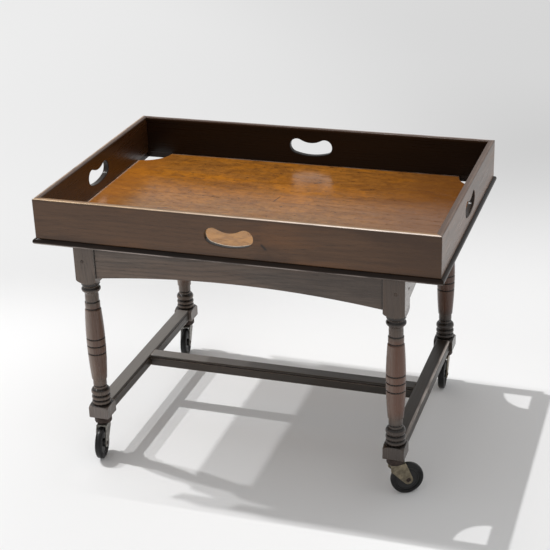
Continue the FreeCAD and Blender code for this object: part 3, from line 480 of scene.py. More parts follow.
def stand_finish(name, along):
    kind = name.split("_")[0]
    tones, figure, (reach, patchiness, bare), polish = STAND_KINDS[kind]
    material, tree = new_material("stained_oak_" + name)
    place = grain_place(tree, name, along)
    at = rest_place(tree)
    oak = oak_figure(place, tones, *figure)
    # Painted shade: the stand is painted darker towards its right end, and the feet, rings and bellies
    # follow it
    darker = ramp(at["X"], *RIGHT_SHADE_SPAN)
    colour = coat(oak["Color"], darker, 0.6, tones[1])
    grime_and_shade = use(GRIME_AND_SHADE, {"Place": place, "Reach": 0.010})["Grime And Shade"]
    if kind == "leg":
        colour = leg_stain(tree, at, oak["Fibre"], darker, colour)
        grime_and_shade = larger(grime_and_shade, use(WAX, {"Height": at["Z"]})["Wax"])
    # Painted glare: right faces high on the stand are painted pale grey, a painted reflection of the
    # bright floor
    painted_light_share = times(ramp(facing(tree, RIGHT), 0.75, 0.95), ramp(at["Z"], *TOP_BLOCK))
    colour = coat(colour, painted_light_share, 0.7, GLARE_GREY)
    if kind == "apron":
        way = along.upper()
        # A painted shadow in the gap where each apron meets a leg
        shadow_gap = short_of(LEG_SHOULDER[way], SHOULDER_SHADOW)
        grime_and_shade = larger(grime_and_shade, ramp(sum_of("ABSOLUTE", at[way]), *shadow_gap))
    if kind == "stretcher":
        colour = stretcher_wear(tree, name, place, at, darker, colour)
    wear = use(WEAR, {"Place": place, "Reach": reach, "Patchiness": patchiness})
    colour = coat(colour, wear["Wear"], bare, BARE_OAK)
    # Wax in the cuts, dirt and painted shade in the hollows, and the painted shadow at the apron
    # shoulders
    colour = coat(colour, grime_and_shade, 0.9, BLACK_BROWN)
    roughness = ramp(oak["Fibre"], 0.3, 0.7, *polish)
    surface(colour, roughness, oak["Height"], 0.00012, wear["Normal"])
    paint(name, material)


for corner in CORNERS:
    stand_finish("leg_" + corner, "z")
for side in SIDES:
    stand_finish("apron_" + side, ALONG[side])
for name, along in (("left", "y"), ("right", "y"), ("centre", "x")):
    stand_finish("stretcher_" + name, along)
print("stand finishes for", ", ".join(STAND_KINDS))

# %% [markdown]
# ## The tray's walls
#
# Outside, the walls are a warm brown. Inside, they are painted much darker, as painted shade, and along
# the top the finish has worn through to pale wood, with a painted highlight, most of all on the front
# wall. Three separate meshes could carry the three looks, but a wall is one board, so one finish finds
# its way by place: how far through the wall's thickness a point lies tells inside from outside and
# finds the rim of the hand hole, which is painted black as painted shade, and a point's height tells
# the worn top edge. The front wall is also painted darker towards its right end, as painted shade.

# %% Wall tones
WALL_PALE = (0.152, 0.076, 0.036, 1)
WALL_DEEP = (0.052, 0.024, 0.011, 1)
WALL_WARM = (0.165, 0.07, 0.024, 1)
# Inside, pale and deep: painted shade, far darker than outside and darkest on the back wall
INNER_SHADE_BROWN = ((0.056, 0.023, 0.0078, 1), (0.034, 0.0145, 0.0058, 1))
BACK_INNER_SHADE_BLACK = ((0.0145, 0.0065, 0.0026, 1), (0.009, 0.0043, 0.0019, 1))
STRAW_WEAR_AND_HIGHLIGHT = (0.66, 0.45, 0.26, 1)
PINK_WEAR_AND_HIGHLIGHT = (0.83, 0.69, 0.58, 1)
GOLD_WEAR_AND_HIGHLIGHT = (0.24, 0.12, 0.04, 1)
TAN_WEAR_AND_HIGHLIGHT = (0.42, 0.29, 0.2, 1)
GREY_WEAR_AND_HIGHLIGHT = (0.36, 0.31, 0.29, 1)
BROWN_WEAR_AND_HIGHLIGHT = (0.13, 0.085, 0.062, 1)
DULL_BROWN = (0.075, 0.04, 0.024, 1)
# The worn colour with its painted highlight along each wall's outer edge, at the left and at the right,
# and along its inner edge
TOP_WEAR_AND_HIGHLIGHT = {
    "front": (STRAW_WEAR_AND_HIGHLIGHT, PINK_WEAR_AND_HIGHLIGHT, GOLD_WEAR_AND_HIGHLIGHT),
    "right": (BROWN_WEAR_AND_HIGHLIGHT, BROWN_WEAR_AND_HIGHLIGHT, DULL_BROWN),
    "back": (GREY_WEAR_AND_HIGHLIGHT, GREY_WEAR_AND_HIGHLIGHT, DULL_BROWN),
    "left": (TAN_WEAR_AND_HIGHLIGHT, TAN_WEAR_AND_HIGHLIGHT, DULL_BROWN),
}
SHEEN = {"front": 0.45, "right": 0.5, "back": 0.2, "left": 0.35}
TOP_DEPTH = (1.3 * MM, 0.2 * MM)


def depth_share(name, side, at, start, end):
    """0 outside and 1 inside, easing between two shares of a side piece's thickness."""
    axis = "Y" if side in ("front", "back") else "X"
    low, high = (corner["XYZ".index(axis)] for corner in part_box(name))
    outer, inner = (low, high) if side in ("front", "left") else (high, low)
    return ramp(at[axis], outer + start * (inner - outer), outer + end * (inner - outer))


print("wall tones for", ", ".join(TOP_WEAR_AND_HIGHLIGHT))

# %% Hand hole rims in painted shade, and worn tops with painted highlights
RIM_HIGHLIGHT = (0.66, 0.54, 0.42, 1)
RIM_FADE = (6 * MM, 9 * MM)
TOP_BAND = (6 * MM, 2 * MM)


def hole_rim_shade(name, side, at, colour):
    """The rim of the hand hole, painted black as painted shade, and along the front wall's inner edge a
    pale line, worn and a painted highlight.
    """
    foot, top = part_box(name)[0].z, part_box(name)[1].z
    # Painted shade on the rim, and on the front wall a painted highlight along its inner edge
    rim = times(depth_share(name, side, at, 0.02, 0.08), depth_share(name, side, at, 0.98, 0.92))
    clear_of_ends = between(at["Z"], [foot + inset for inset in RIM_FADE], short_of(top, RIM_FADE))
    tone = BLACK_BROWN
    if side == "front":
        tone = blend(depth_share(name, side, at, 0.66, 0.8), BLACK_BROWN, RIM_HIGHLIGHT)
    return coat(colour, times(rim, clear_of_ends), 0.9, tone)


def worn_and_highlit_top(name, side, at, place, colour):
    """The top edge, worn to pale wood with a painted highlight, over a band that is darker than the wall.
    """
    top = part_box(name)[1].z
    left_tone, right_tone, inner_tone = TOP_WEAR_AND_HIGHLIGHT[side]
    outer_tone = blend(ramp(at["X"], -0.3, 0.2), left_tone, right_tone)
    tone = blend(depth_share(name, side, at, 0.22, 0.52), outer_tone, inner_tone)
    least = 0.7 if side == "front" else 0.35
    patchy = ramp(noise(place, 30, 160, 3.0), 0.3, 0.6, least, 1.0)
    band = ramp(at["Z"], *short_of(top, TOP_BAND), 0.0, 0.6)
    # The pale crest: worn wood and a painted highlight
    crest = ramp(at["Z"], *short_of(top, TOP_DEPTH))
    return coat(blend(band, colour, WALL_DEEP), crest, patchy, tone)


print("rims and tops for", len(TOP_WEAR_AND_HIGHLIGHT), "walls")

# %% Wall finish
KNOT = ((0.0649, 0.4889), 0.018, 0.007, -44)
FRONT_RIGHT_SHADE = (0.2, 0.37)


def wall_finish(side):
    name = f"tray_{side}_wall"
    material, tree = new_material("wall_oak_" + side)
    place = grain_place(tree, name, ALONG[side])
    at = rest_place(tree)
    # Painted shade: the inner faces take far darker tones than the outer ones
    inside = depth_share(name, side, at, 0.35, 0.9)
    inner_pale, inner_deep = BACK_INNER_SHADE_BLACK if side == "back" else INNER_SHADE_BROWN
    tones = (blend(inside, WALL_PALE, inner_pale), blend(inside, WALL_DEEP, inner_deep),
             blend(inside, WALL_WARM, inner_pale))
    oak = oak_figure(place, tones, 0.009, 0.06, 0.15, 0.75, ramp(inside, 0.0, 1.0, 0.42, 0.12))
    wear = use(WEAR, {"Place": place, "Reach": 0.0015, "Patchiness": 0.8})
    grime_and_shade = use(GRIME_AND_SHADE, {"Place": place, "Reach": 0.012})["Grime And Shade"]
    # Dirt and painted shade in the hollows
    colour = coat(oak["Color"], grime_and_shade, 0.6, BLACK_BROWN)
    colour = coat(colour, wear["Wear"], 0.3, BARE_OAK)
    if side == "front":
        colour = coat(colour, stroke(at["X"], at["Z"], *KNOT), 0.95, BLACK_BROWN)
        # Painted shade towards the front wall's right end
        colour = blend(ramp(at["X"], *FRONT_RIGHT_SHADE, 0.0, 0.6), colour, WALL_DEEP)
    colour = hole_rim_shade(name, side, at, colour)
    colour = worn_and_highlit_top(name, side, at, place, colour)
    roughness = ramp(oak["Fibre"], 0.3, 0.7, 0.26, 0.34)
    height = times(oak["Height"], ramp(inside, 0.0, 1.0, 1.0, 0.2))
    surface(colour, roughness, height, 0.00004, wear["Normal"], Specular_IOR_Level=SHEEN[side])
    paint(name, material)


for side in SIDES:
    wall_finish(side)
print("wall finishes", len(SIDES))

# %% [markdown]
# ## The moulding
#
# The rounded moulding under the walls is almost black, as if it had been ebonised, and only its lower
# edge is pale: rubbed where hands take hold to lift the tray, and a painted reflection of the bright
# floor. A plain black would look like plastic, so the oak's figure stays in it, very low in contrast.

# %% Moulding finish
MOULDING_TONES = ((0.022, 0.012, 0.008, 1), (0.006, 0.004, 0.003, 1), (0.03, 0.013, 0.006, 1))
MOULDING_WEAR_AND_REFLECTION = (0.4, 0.335, 0.3, 1)


def moulding_finish(side):
    name = f"tray_{side}_moulding"
    material, tree = new_material("ebonised_oak_" + side)
    place = grain_place(tree, name, ALONG[side])
    at = rest_place(tree)
    oak = oak_figure(place, MOULDING_TONES, 0.005, 0.04, 0.5)
    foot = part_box(name)[0].z
    nose = ramp(depth_share(name, side, at, 0.2, 0.34), 0.0, 1.0, 1.0, 0.0)
    # Pale lower edge: rubbed wood and a painted reflection of the floor, weaker to the right
    lower = times(ramp(at["Z"], foot + 4.6 * MM, foot + 3.0 * MM), nose)
    lower = times(lower, ramp(at["X"], -0.2, 0.38, 1.0, 0.55))
    patchy = ramp(noise(place, 14, 120, 4.0, 0.65), 0.34, 0.62, 0.25, 1.0)
    colour = coat(oak["Color"], lower, patchy, MOULDING_WEAR_AND_REFLECTION)
    roughness = ramp(oak["Fibre"], 0.3, 0.7, 0.26, 0.36)
    surface(colour, roughness, oak["Height"], 0.00006, Specular_IOR_Level=0.15)
    paint(name, material)


for side in SIDES:
    moulding_finish(side)
print("moulding finishes", len(SIDES))

# %% [markdown]
# ## The tray's floor
#
# The floor is three boards of golden oak under a worn polish, streaked and mottled along the grain,
# with dark specks, a few dents and a painted highlight along some of its edges. Each board is a
# separate piece, so each has its own figure, and the joints between them come from the shape. The
# polish is smooth enough to mirror the hand hole of the far wall, which shows as a pale patch on the
# boards. The boards are painted darker towards the right as painted shade, paler at the left edge and
# towards the front as painted light, and their pale threads are painted glints.
# No one polishes a board's sides or underside, so faces that don't look up are dull, and those that look
# down are raw wood. The figure is a stack of noises, each with its own stretch along the grain: one
# noise alone is cloudy or streaky, and old oak is both.

# %% Figure of the boards
FLOOR_PALE = (0.5, 0.2, 0.03, 1)
FLOOR_DEEP = (0.15, 0.052, 0.01, 1)
FLOOR_WARM = (0.5, 0.175, 0.01, 1)
FLOOR_TONES = (FLOOR_PALE, FLOOR_DEEP, FLOOR_WARM)
DULL_OAK = (0.185, 0.112, 0.048, 1)
SPECK_BROWN = (0.055, 0.022, 0.009, 1)
LEFT_PAINTED_LIGHT = (0.48, 0.16, 0.02, 1)
FRONT_PAINTED_LIGHT = (0.58, 0.27, 0.065, 1)
# Layers of figure: the noise, the values where it starts and is full, then its strength and its tone
GOLDEN = ((9, 16, 4.0, 0.6), (0.48, 0.6), 0.5, FLOOR_WARM)
FLAME = ((26, 44, 4.0, 0.65), (0.42, 0.66), 0.5, FLOOR_DEEP)
LICK = ((70, 110, 3.0, 0.6), (0.45, 0.68), 0.35, FLOOR_DEEP)
RIPPLE = ((85, 22, 3.0, 0.55), (0.45, 0.7), 0.25, FLOOR_DEEP)
# Pale threads along the grain are painted glints
GLINT_THREAD = ((42, 360, 3.0, 0.6), (0.56, 0.68), 0.4, FLOOR_PALE)
DASH = ((60, 480, 3.0, 0.6), (0.56, 0.68), 0.55, SPECK_BROWN)
SPECK = ((90, 170, 3.0, 0.6), (0.63, 0.7), 0.7, SPECK_BROWN)
# Dents and scratches
DENTS = (((0.0457, 0.1424), 0.022, 0.007, 35), ((-0.0072, 0.0375), 0.04, 0.006, 80),
         ((0.2745, 0.1436), 0.03, 0.008, -12), ((0.1496, 0.1257), 0.034, 0.007, 10),
         ((-0.21, -0.06), 0.026, 0.006, 24), ((0.12, -0.175), 0.03, 0.006, -58))


def lay_figure(colour, place, layer):
    pattern, limits, strength, tone = layer
    return coat(colour, ramp(noise(place, *pattern), *limits), strength, tone)


def board_colour(place, at, colour, dulled):
    """The figure over the oak, with tones that change from side to side and from back to front: painted
    shade towards the right, and painted light at the left edge and towards the front.
    """
    colour = lay_figure(colour, place, GOLDEN)
    colour = coat(colour, ramp(at["Y"], 0.07, -0.07), dulled, DULL_OAK)
    for layer in (FLAME, LICK, RIPPLE, GLINT_THREAD, DASH, SPECK):
        colour = lay_figure(colour, place, layer)
    for dent in DENTS:
        colour = coat(colour, stroke(at["X"], at["Y"], *dent), 0.8, SPECK_BROWN)
    # Painted shade: the boards darken towards the right
    colour = blend(ramp(at["X"], 0.05, 0.36, 0.0, 0.85), colour, FLOOR_DEEP)
    # Painted light: a paler orange along the left edge
    colour = blend(ramp(at["X"], -0.27, -0.35, 0.0, 0.4), colour, LEFT_PAINTED_LIGHT)
    # Painted light: a paler tan towards the front, broken up by the flames
    flames = ramp(noise(place, *FLAME[0]), *FLAME[1])
    painted_light_share = ramp(flames, 0.0, 1.0, 0.5, 0.24)
    return coat(colour, ramp(at["Y"], -0.09, -0.18), painted_light_share, FRONT_PAINTED_LIGHT)


print("figure of the boards, with", len(DENTS), "dents")

# %% Floor finish
EDGE_HIGHLIGHT_TAN = (0.42, 0.31, 0.25, 1)
SEAM_GOLD = (0.62, 0.34, 0.06, 1)
RAW_OAK = ((0.3, 0.2, 0.12, 1), (0.17, 0.1, 0.055, 1))


def board_edges(row, place, at, colour):
    """A golden seam, a little dirt in the joint before it, and painted highlights along the left and back
    edges.
    """
    low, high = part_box("tray_floor_" + row)
    if row == "middle":
        seam = ramp(at["Y"], low.y + 6 * MM, low.y + 2 * MM)
        broken = ramp(noise(place, 9, 60, 2.0, 0.5), 0.42, 0.6, 0.15, 0.8)
        colour = coat(colour, seam, broken, SEAM_GOLD)
    if row == "front":
        dirt = ramp(at["Y"], high.y - 4 * MM, high.y - 1 * MM, 0.0, 0.45)
        colour = blend(dirt, colour, SPECK_BROWN)
    # Painted highlights along the left edge, and along the back edge of the rear board
    highlit_border = ramp(at["X"], low.x + 5 * MM, low.x + 2 * MM)
    if row == "rear":
        highlit_border = larger(highlit_border, ramp(at["Y"], high.y - 6 * MM, high.y - 3 * MM))
    border_breakup = ramp(noise(place, 24, 130, 3.0, 0.6), 0.34, 0.58, 0.15, 0.9)
    return coat(colour, highlit_border, border_breakup, EDGE_HIGHLIGHT_TAN)


def floor_finish(row):
    name = "tray_floor_" + row
    material, tree = new_material("floor_oak_" + row)
    place = grain_place(tree, name, "x")
    at = rest_place(tree)
    oak = oak_figure(place, FLOOR_TONES, 0.012, 0.05, 0.1, 0.4, 0.3)
    colour = board_colour(place, at, oak["Color"], 0.7 if row == "front" else 0.5)
    colour = board_edges(row, place, at, colour)
    upward = facing(tree, UP)
    colour = blend(ramp(upward, 0.8, 0.3, 0.0, 0.8), colour, SPECK_BROWN)
    raw = blend(ramp(oak["Fibre"], 0.35, 0.65), *RAW_OAK)
    colour = blend(ramp(upward, -0.3, -0.8), colour, raw)
    polish = ramp(noise(place, 9, 60, 3.0), 0.3, 0.7, 0.15, 0.25)
    unpolished = ramp(upward, 0.998, 0.95)
    roughness = plus(unpolished, 0.7, polish)
    surface(colour, roughness, oak["Height"], 0.0001)
    paint(name, material)


for row in ("front", "middle", "rear"):
    floor_finish(row)
print("floor finishes", 3)

# %% [markdown]
# ## The battens
#
# Two battens under the floor keep its boards flat and hold the tray in place on the stand. No one
# stains what can't be seen, so they are raw oak, gone brown with age and dust.

# %% Batten finish
BATTEN_TONES = (*RAW_OAK, (0.28, 0.16, 0.08, 1))
BATTEN_DUST_AND_SHADE = (0.05, 0.035, 0.025, 1)


def batten_finish(side):
    name = "tray_batten_" + side
    material, tree = new_material("raw_oak_" + side)
    place = grain_place(tree, name, "y")
    oak = oak_figure(place, BATTEN_TONES, 0.005, 0.03, 0.6)
    grime_and_shade = use(GRIME_AND_SHADE, {"Place": place, "Reach": 0.015})["Grime And Shade"]
    # Dust and painted shade in the hollows
    colour = coat(oak["Color"], grime_and_shade, 0.5, BATTEN_DUST_AND_SHADE)
    roughness = ramp(oak["Fibre"], 0.3, 0.7, 0.62, 0.78)
    surface(colour, roughness, oak["Height"], 0.0003)
    paint(name, material)


for side in ("left", "right"):
    batten_finish(side)
print("batten finishes", 2)

# %% [markdown]
# ## Metals
#
# The castor forks are brass that has gone olive brown, bright only where it is rubbed, and those on the
# left are painted greyer, as a painted reflection of the bright floor. The cups and axles are
# blackened iron, and washers, pins and screws are steel. One function serves them all, because they
# differ only in their colours: clean metal, the tarnish over it, and how much of it is left. Their
# hollows are darkened by old oil and painted shade.

# %% Metal finish
OIL_AND_SHADE = (0.012, 0.01, 0.008, 1)


def metal_finish(label, clean, tarnish, cover, smooth, rough):
    """Tarnished metal that is bright along its rubbed edges."""
    material, tree = new_material(label)
    place = rest_point(tree)
    cloud = noise(place, 120, 120, 5.0, 0.6)
    spots = noise(place, 720, 720, 3.0, 0.6)
    wear = use(WEAR, {"Place": place, "Reach": 0.0009, "Patchiness": 0.4})
    grime_and_shade = use(GRIME_AND_SHADE, {"Place": place, "Reach": 0.006})["Grime And Shade"]
    dull = ramp(cloud, cover - 0.25, cover + 0.25, 1.0, 0.5)
    dull = times(dull, ramp(wear["Wear"], 0.0, 0.8, 1.0, 0.15))
    # Old oil and painted shade in the hollows
    colour = coat(blend(dull, clean, tarnish), grime_and_shade, 0.8, OIL_AND_SHADE)
    roughness = ramp(dull, 0.1, 0.9, smooth, rough)
    shader = surface(colour, roughness, spots, 0.00003, wear["Normal"])
    tree.links.new(ramp(dull, 0.2, 1.0, 1.0, 0.65), shader.inputs["Metallic"])
    return material


# Clean colour, tarnish, how far that covers it, and roughness bright and dull
AGED_BRASS = metal_finish("aged_brass", (0.54, 0.46, 0.32, 1), (0.135, 0.114, 0.08, 1), 0.55, 0.26, 0.42)
BRASS_WITH_PAINTED_REFLECTION = metal_finish("brass_with_painted_reflection", (0.44, 0.42, 0.37, 1), (0.105, 0.098, 0.086, 1), 0.55, 0.26, 0.42)
BLACK_IRON = metal_finish("blackened_iron", (0.15, 0.11, 0.095, 1), (0.034, 0.023, 0.019, 1),
                          0.62, 0.32, 0.5)
DULL_STEEL = metal_finish("dull_steel", (0.52, 0.5, 0.48, 1), (0.15, 0.13, 0.115, 1), 0.5, 0.28, 0.48)
for corner in CORNERS:
    # The left forks take the greyer brass, a painted reflection of the bright floor
    paint("castor_fork_" + corner, BRASS_WITH_PAINTED_REFLECTION if corner.endswith("left") else AGED_BRASS)
    for piece in ("cup", "axle"):
        paint(f"castor_{piece}_{corner}", BLACK_IRON)
    for piece in ("washer", "king_pin"):
        paint(f"castor_{piece}_{corner}", DULL_STEEL)
paint("moulding_pins", DULL_STEEL)
print("metals", AGED_BRASS.name, BRASS_WITH_PAINTED_REFLECTION.name, BLACK_IRON.name, DULL_STEEL.name)

# %% [markdown]
# ## Rubber
#
# The tyres and the wheel centres are black rubber, dusty where they roll. Their shape has the detail,
# so the finish only breaks up the black: a little brown grey dust in patches and a dull, uneven skin.

# %% Rubber finish
def rubber_finish(label, fresh, dusty, smooth, rough, sheen):
    material, tree = new_material(label)
    place = rest_point(tree)
    cloud = noise(place, 90, 90, 5.0, 0.65)
    skin = noise(place, 900, 900, 3.0, 0.6)
    wear = use(WEAR, {"Place": place, "Reach": 0.0008, "Patchiness": 0.4})
    greyed = plus(wear["Wear"], 0.5, ramp(cloud, 0.45, 0.75, 0.0, 0.5))
    colour = blend(greyed, fresh, dusty)
    roughness = ramp(cloud, 0.3, 0.7, smooth, rough)
    surface(colour, roughness, skin, 0.00005, wear["Normal"], Specular_IOR_Level=sheen)
    return material


# Its own black, the dust on it, roughness clean and dusty, and sheen
TYRE_RUBBER = rubber_finish("tyre_rubber", (0.005, 0.005, 0.005, 1), (0.024, 0.022, 0.021, 1),
                            0.3, 0.46, 0.35)
WHEEL_BLACK = rubber_finish("wheel_black", (0.009, 0.0085, 0.0085, 1), (0.032, 0.03, 0.028, 1),
                            0.34, 0.5, 0.5)
print("rubber", TYRE_RUBBER.name, WHEEL_BLACK.name)

# %% [markdown]
# ## Wheels and tyres
#
# A castor wheel is turned or moulded round its axle. The ready made discs are plain, so finer ones
# take their place: a tyre with a groove each side of its tread and a raised bead on its flank, and a
# wheel centre with a dished web and a stepped hub. Both are a profile swept round an axis, which is
# what a lathe does, so one function makes them from a list of radius and offset pairs.

# %% Lathe helper
TURN_STEPS = 96


def new_object(name, data):
    """An object for a mesh, a lamp or a camera, in the scene."""
    made = bpy.data.objects.new(name, data)
    bpy.context.scene.collection.objects.link(made)
    return made


def new_piece(name, bm, material, crease=32):
    """A mesh object with smooth faces and sharp creases."""
    bmesh.ops.recalc_face_normals(bm, faces=bm.faces)
    mesh = bpy.data.meshes.new(name)
    bm.to_mesh(mesh)
    bm.free()
    mesh.shade_smooth()
    mesh.set_sharp_from_angle(angle=math.radians(crease))
    mesh.materials.append(material)
    return new_object(name, mesh)


def join_rings(bm, ring, following):
    """Faces between two closed rings with the same number of points."""
    for spot in range(len(ring)):
        ahead = (spot + 1) % len(ring)
        bm.faces.new((ring[spot], following[spot], following[ahead], ring[ahead]))


def sweep(bm, stand, profile, steps):
    """A ring swept from (radius, offset) pairs in millimetres about the Z axis of a matrix."""
    rings = []
    for step in range(steps):
        angle = 2 * math.pi * step / steps
        way = Vector((math.cos(angle), math.sin(angle), 0))
        rings.append([bm.verts.new(stand @ (way * radius * MM + Vector((0, 0, offset * MM))))
                      for radius, offset in profile])
    for step in range(steps):
        join_rings(bm, rings[step], rings[(step + 1) % steps])


def standing_at(place, axis):
    """A matrix at a place with its Z along an axis."""
    lie = Vector((0, 0, 1)).rotation_difference(Vector(axis)).to_matrix().to_4x4()
    return Matrix.Translation(place) @ lie


print("lathe ready,", TURN_STEPS, "steps")

# %% Wheels and tyres
TYRE_SIDE = [(23.5, -6.75), (25.0, -6.75), (25.5, -6.35), (26.4, -6.35), (26.9, -6.75), (27.6, -6.72),
             (29.0, -6.3), (30.2, -5.35), (30.9, -4.5), (31.15, -3.9), (30.55, -3.5), (30.55, -3.0),
             (31.3, -2.6), (31.5, -1.5)]
WHEEL_SIDE = [(3.08, -7.75), (6.6, -7.75), (7.6, -7.3), (8.0, -6.4), (8.0, -4.2), (8.6, -3.5),
              (10.0, -3.1), (16.0, -2.9), (18.6, -3.2), (19.7, -4.0), (20.0, -5.0), (20.6, -5.5),
              (22.6, -5.5), (23.5, -5.2)]


def mirrored(side):
    """Both halves of a profile that is the same on either side."""
    return side + [(radius, -offset) for radius, offset in reversed(side)]


rolls = {joint["child"]: joint for joint in frame["joints"] if joint["name"].startswith("roll_")}
for corner in CORNERS:
    body = "castor_wheel_" + corner
    joint = rolls[body]
    for kind, side, finish, slot in (("tyre", TYRE_SIDE, TYRE_RUBBER, "tyre_rubber"),
                                     ("wheel", WHEEL_SIDE, WHEEL_BLACK, "wheel_iron")):
        bm = bmesh.new()
        sweep(bm, standing_at(joint["pos_m"], joint["axis"]), mirrored(side), TURN_STEPS)
        piece = new_piece(f"{kind}_{corner}", bm, finish)
        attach(piece, body)
        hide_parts(f"castor_{kind}_{corner}")
print("wheels and tyres", 2 * len(CORNERS))

# %% [markdown]
# ## Pegs and screws
#
# Each apron tenon is locked by a wooden peg through the leg. Such pegs are whittled, not turned, so
# they have flats and never quite fill a round hole. The screws have a slot for the driver. Pegs and
# screws arrive as plain rods and cones, several to a piece, so the first step is to find each one: a
# walk along the mesh's edges from any point reaches all of one solid and nothing else. Its box then
# gives the place, the direction and the length of the finer shape that takes its place.

# %% Finding the separate solids
def boxes_of(name):
    """The box of each separate solid in a ready made piece, in a fixed order."""
    bm = bmesh.new()
    bm.from_mesh(NODES[name].data)
    bmesh.ops.remove_doubles(bm, verts=bm.verts, dist=MM * MM)
    unreached = set(bm.verts)
    boxes = []
    while unreached:
        reached = [unreached.pop()]
        for vert in reached:
            for edge in vert.link_edges:
                other = edge.other_vert(vert)
                if other in unreached:
                    unreached.remove(other)
                    reached.append(other)
        columns = list(zip(*(vert.co for vert in reached)))
        boxes.append((Vector(map(min, columns)), Vector(map(max, columns))))
    bm.free()
    return sorted(boxes, key=lambda box: tuple(round(v, 5) for v in box[0]))


def outer_end(box, head_way=None):
    """A matrix at a rod's outer end, with Z into the wood, and the rod's length in millimetres."""
    low, high = box
    size = high - low
    axis = max(range(3), key=lambda number: size[number])
    middle = (low + high) / 2
    out = head_way or (1 if middle[axis] > 0 else -1)
    middle[axis] = (high if out > 0 else low)[axis]
    inward = Vector((0, 0, 0))
    inward[axis] = -out
    return standing_at(middle, inward), size[axis] / MM


peg_boxes = boxes_of("apron_pegs")
print("pegs found", len(peg_boxes))

# %% Pegs
PEG_SIDES = 8
PEG_TWIST, PEG_UNEVEN = 0.37, 0.035
PEG_TONES = ((0.13, 0.09, 0.066, 1), (0.036, 0.024, 0.018, 1), (0.12, 0.06, 0.035, 1))
# How deep each ring of a peg lies from its outer end, and its radius, in millimetres
PEG_RINGS = ((0.3, 2.9), (-0.15, 2.75), (-0.4, 1.9))
PEG_TIP = 2.3


def peg_finish():
    material, tree = new_material("peg_oak")
    place = rest_point(tree)
    oak = oak_figure(place, PEG_TONES, 0.0012, 0.01, 0.7)
    roughness = ramp(oak["Fibre"], 0.3, 0.7, 0.45, 0.6)
    surface(oak["Color"], roughness, oak["Height"], 0.0002)
    return material


def whittle(bm, box, number):
    """An eight sided peg with uneven flats, tapering inwards, whose end stands a little proud."""
    stand, length = outer_end(box)
    rings = []
    for depth, radius in ((length, PEG_TIP), *PEG_RINGS):
        ring = []
        for side in range(PEG_SIDES):
            angle = 2 * math.pi * (side + PEG_TWIST * number) / PEG_SIDES
            uneven = radius * (1 - PEG_UNEVEN * math.sin(2.3 * side + number))
            spot = Vector((math.cos(angle) * uneven, math.sin(angle) * uneven, depth))
            ring.append(bm.verts.new(stand @ (spot * MM)))
        rings.append(ring)
    for ring, following in zip(rings, rings[1:]):
        join_rings(bm, ring, following)
    bm.faces.new(rings[0])
    bm.faces.new(rings[-1])


pegs_bm = bmesh.new()
for number, box in enumerate(peg_boxes):
    whittle(pegs_bm, box, number)
pegs = new_piece("whittled_pegs", pegs_bm, peg_finish(), crease=20)
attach(pegs, "stand")
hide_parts("apron_pegs")
print("pegs", len(peg_boxes), "with", len(pegs.data.vertices), "points")

# %% Screws
# In millimetres
SCREW_STEPS = 32
HEAD_RADIUS = 4.0
HEAD_TAPER = 3.0
SHANK_RADIUS = 2.0
SLOT_HALF = 0.55
SLOT_DEPTH = 1.1
POINT_LENGTH = 4.0


def half_moon(bm, stand, way, slope):
    """One side of a slotted head, from the slot to the rim, tapering with the head."""
    rim = []
    for depth in (0.0, SLOT_DEPTH * 1.2):
        radius = HEAD_RADIUS - depth * slope
        start = math.asin(SLOT_HALF / radius)
        arc = []
        for step in range(SCREW_STEPS // 2 + 1):
            angle = start + (math.pi - 2 * start) * step / (SCREW_STEPS // 2)
            spot = Vector((math.cos(angle) * radius, way * math.sin(angle) * radius, depth))
            arc.append(bm.verts.new(stand @ (spot * MM)))
        rim.append(arc)
    upper, lower = rim
    join_rings(bm, upper, lower)
    bm.faces.new(upper)
    bm.faces.new(lower)


def slotted_screw(bm, box, head_way=None):
    """A countersunk screw: a head in two half moons over a cone, and a shank with a blunt point."""
    stand, tip = outer_end(box, head_way)
    slope = (HEAD_RADIUS - SHANK_RADIUS) / HEAD_TAPER
    core = [(0.01, SLOT_DEPTH), (HEAD_RADIUS - SLOT_DEPTH * slope - 0.02, SLOT_DEPTH),
            (SHANK_RADIUS, HEAD_TAPER), (SHANK_RADIUS, tip - POINT_LENGTH), (0.4, tip), (0.01, tip)]
    sweep(bm, stand, core, SCREW_STEPS)
    for way in (-1, 1):
        half_moon(bm, stand, way, slope)


for node, body, head_way in (("stretcher_screws", "stand", None), ("batten_screws", "tray", -1)):
    screws_bm = bmesh.new()
    for box in boxes_of(node):
        slotted_screw(screws_bm, box, head_way)
    screws = new_piece("slotted_" + node, screws_bm, DULL_STEEL)
    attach(screws, body)
    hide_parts(node)
    print(screws.name, len(screws.data.vertices), "points")

# %% [markdown]
# ## Floor and light
#
# The table stands on a plain white floor that runs out of the picture on every side. Three small lamps
# hang high up, one almost overhead and two to the left, and each lights its own part of the floor,
# so their shadows overlap in steps. An even pale sky fills the rest. Far from the table the floor
# shows brighter to the camera and in mirror images than it is lit, by Light Path, so it stays white to
# the edge of the picture and meets the sky without a line. From below it is clear, so that the table's
# underside can be looked at. A reflector could soften the shadow of the tray's left wall, but shadow
# linking is simpler: the two left lamps shine past that wall.

# %% Floor
FLOOR_HALF = 14.0
GLOW_REACH = (0.7, 2.8)
GLOW_SIDES, GLOW_LEVELS = (-2.6, 0.4), (0.87, 0.72)
HORIZON = (5.0, 9.0)
FLOOR_WHITE = (0.86, 0.86, 0.86, 1)
SEEN_SKY, SKY_LIGHT = 0.8, 0.61
floor_mesh = bpy.data.meshes.new("studio_floor")
floor_corners = [(x * FLOOR_HALF, y * FLOOR_HALF, 0) for x, y in ((-1, -1), (1, -1), (1, 1), (-1, 1))]
floor_mesh.from_pydata(floor_corners, [], [(0, 1, 2, 3)])
studio_floor = new_object("studio_floor", floor_mesh)


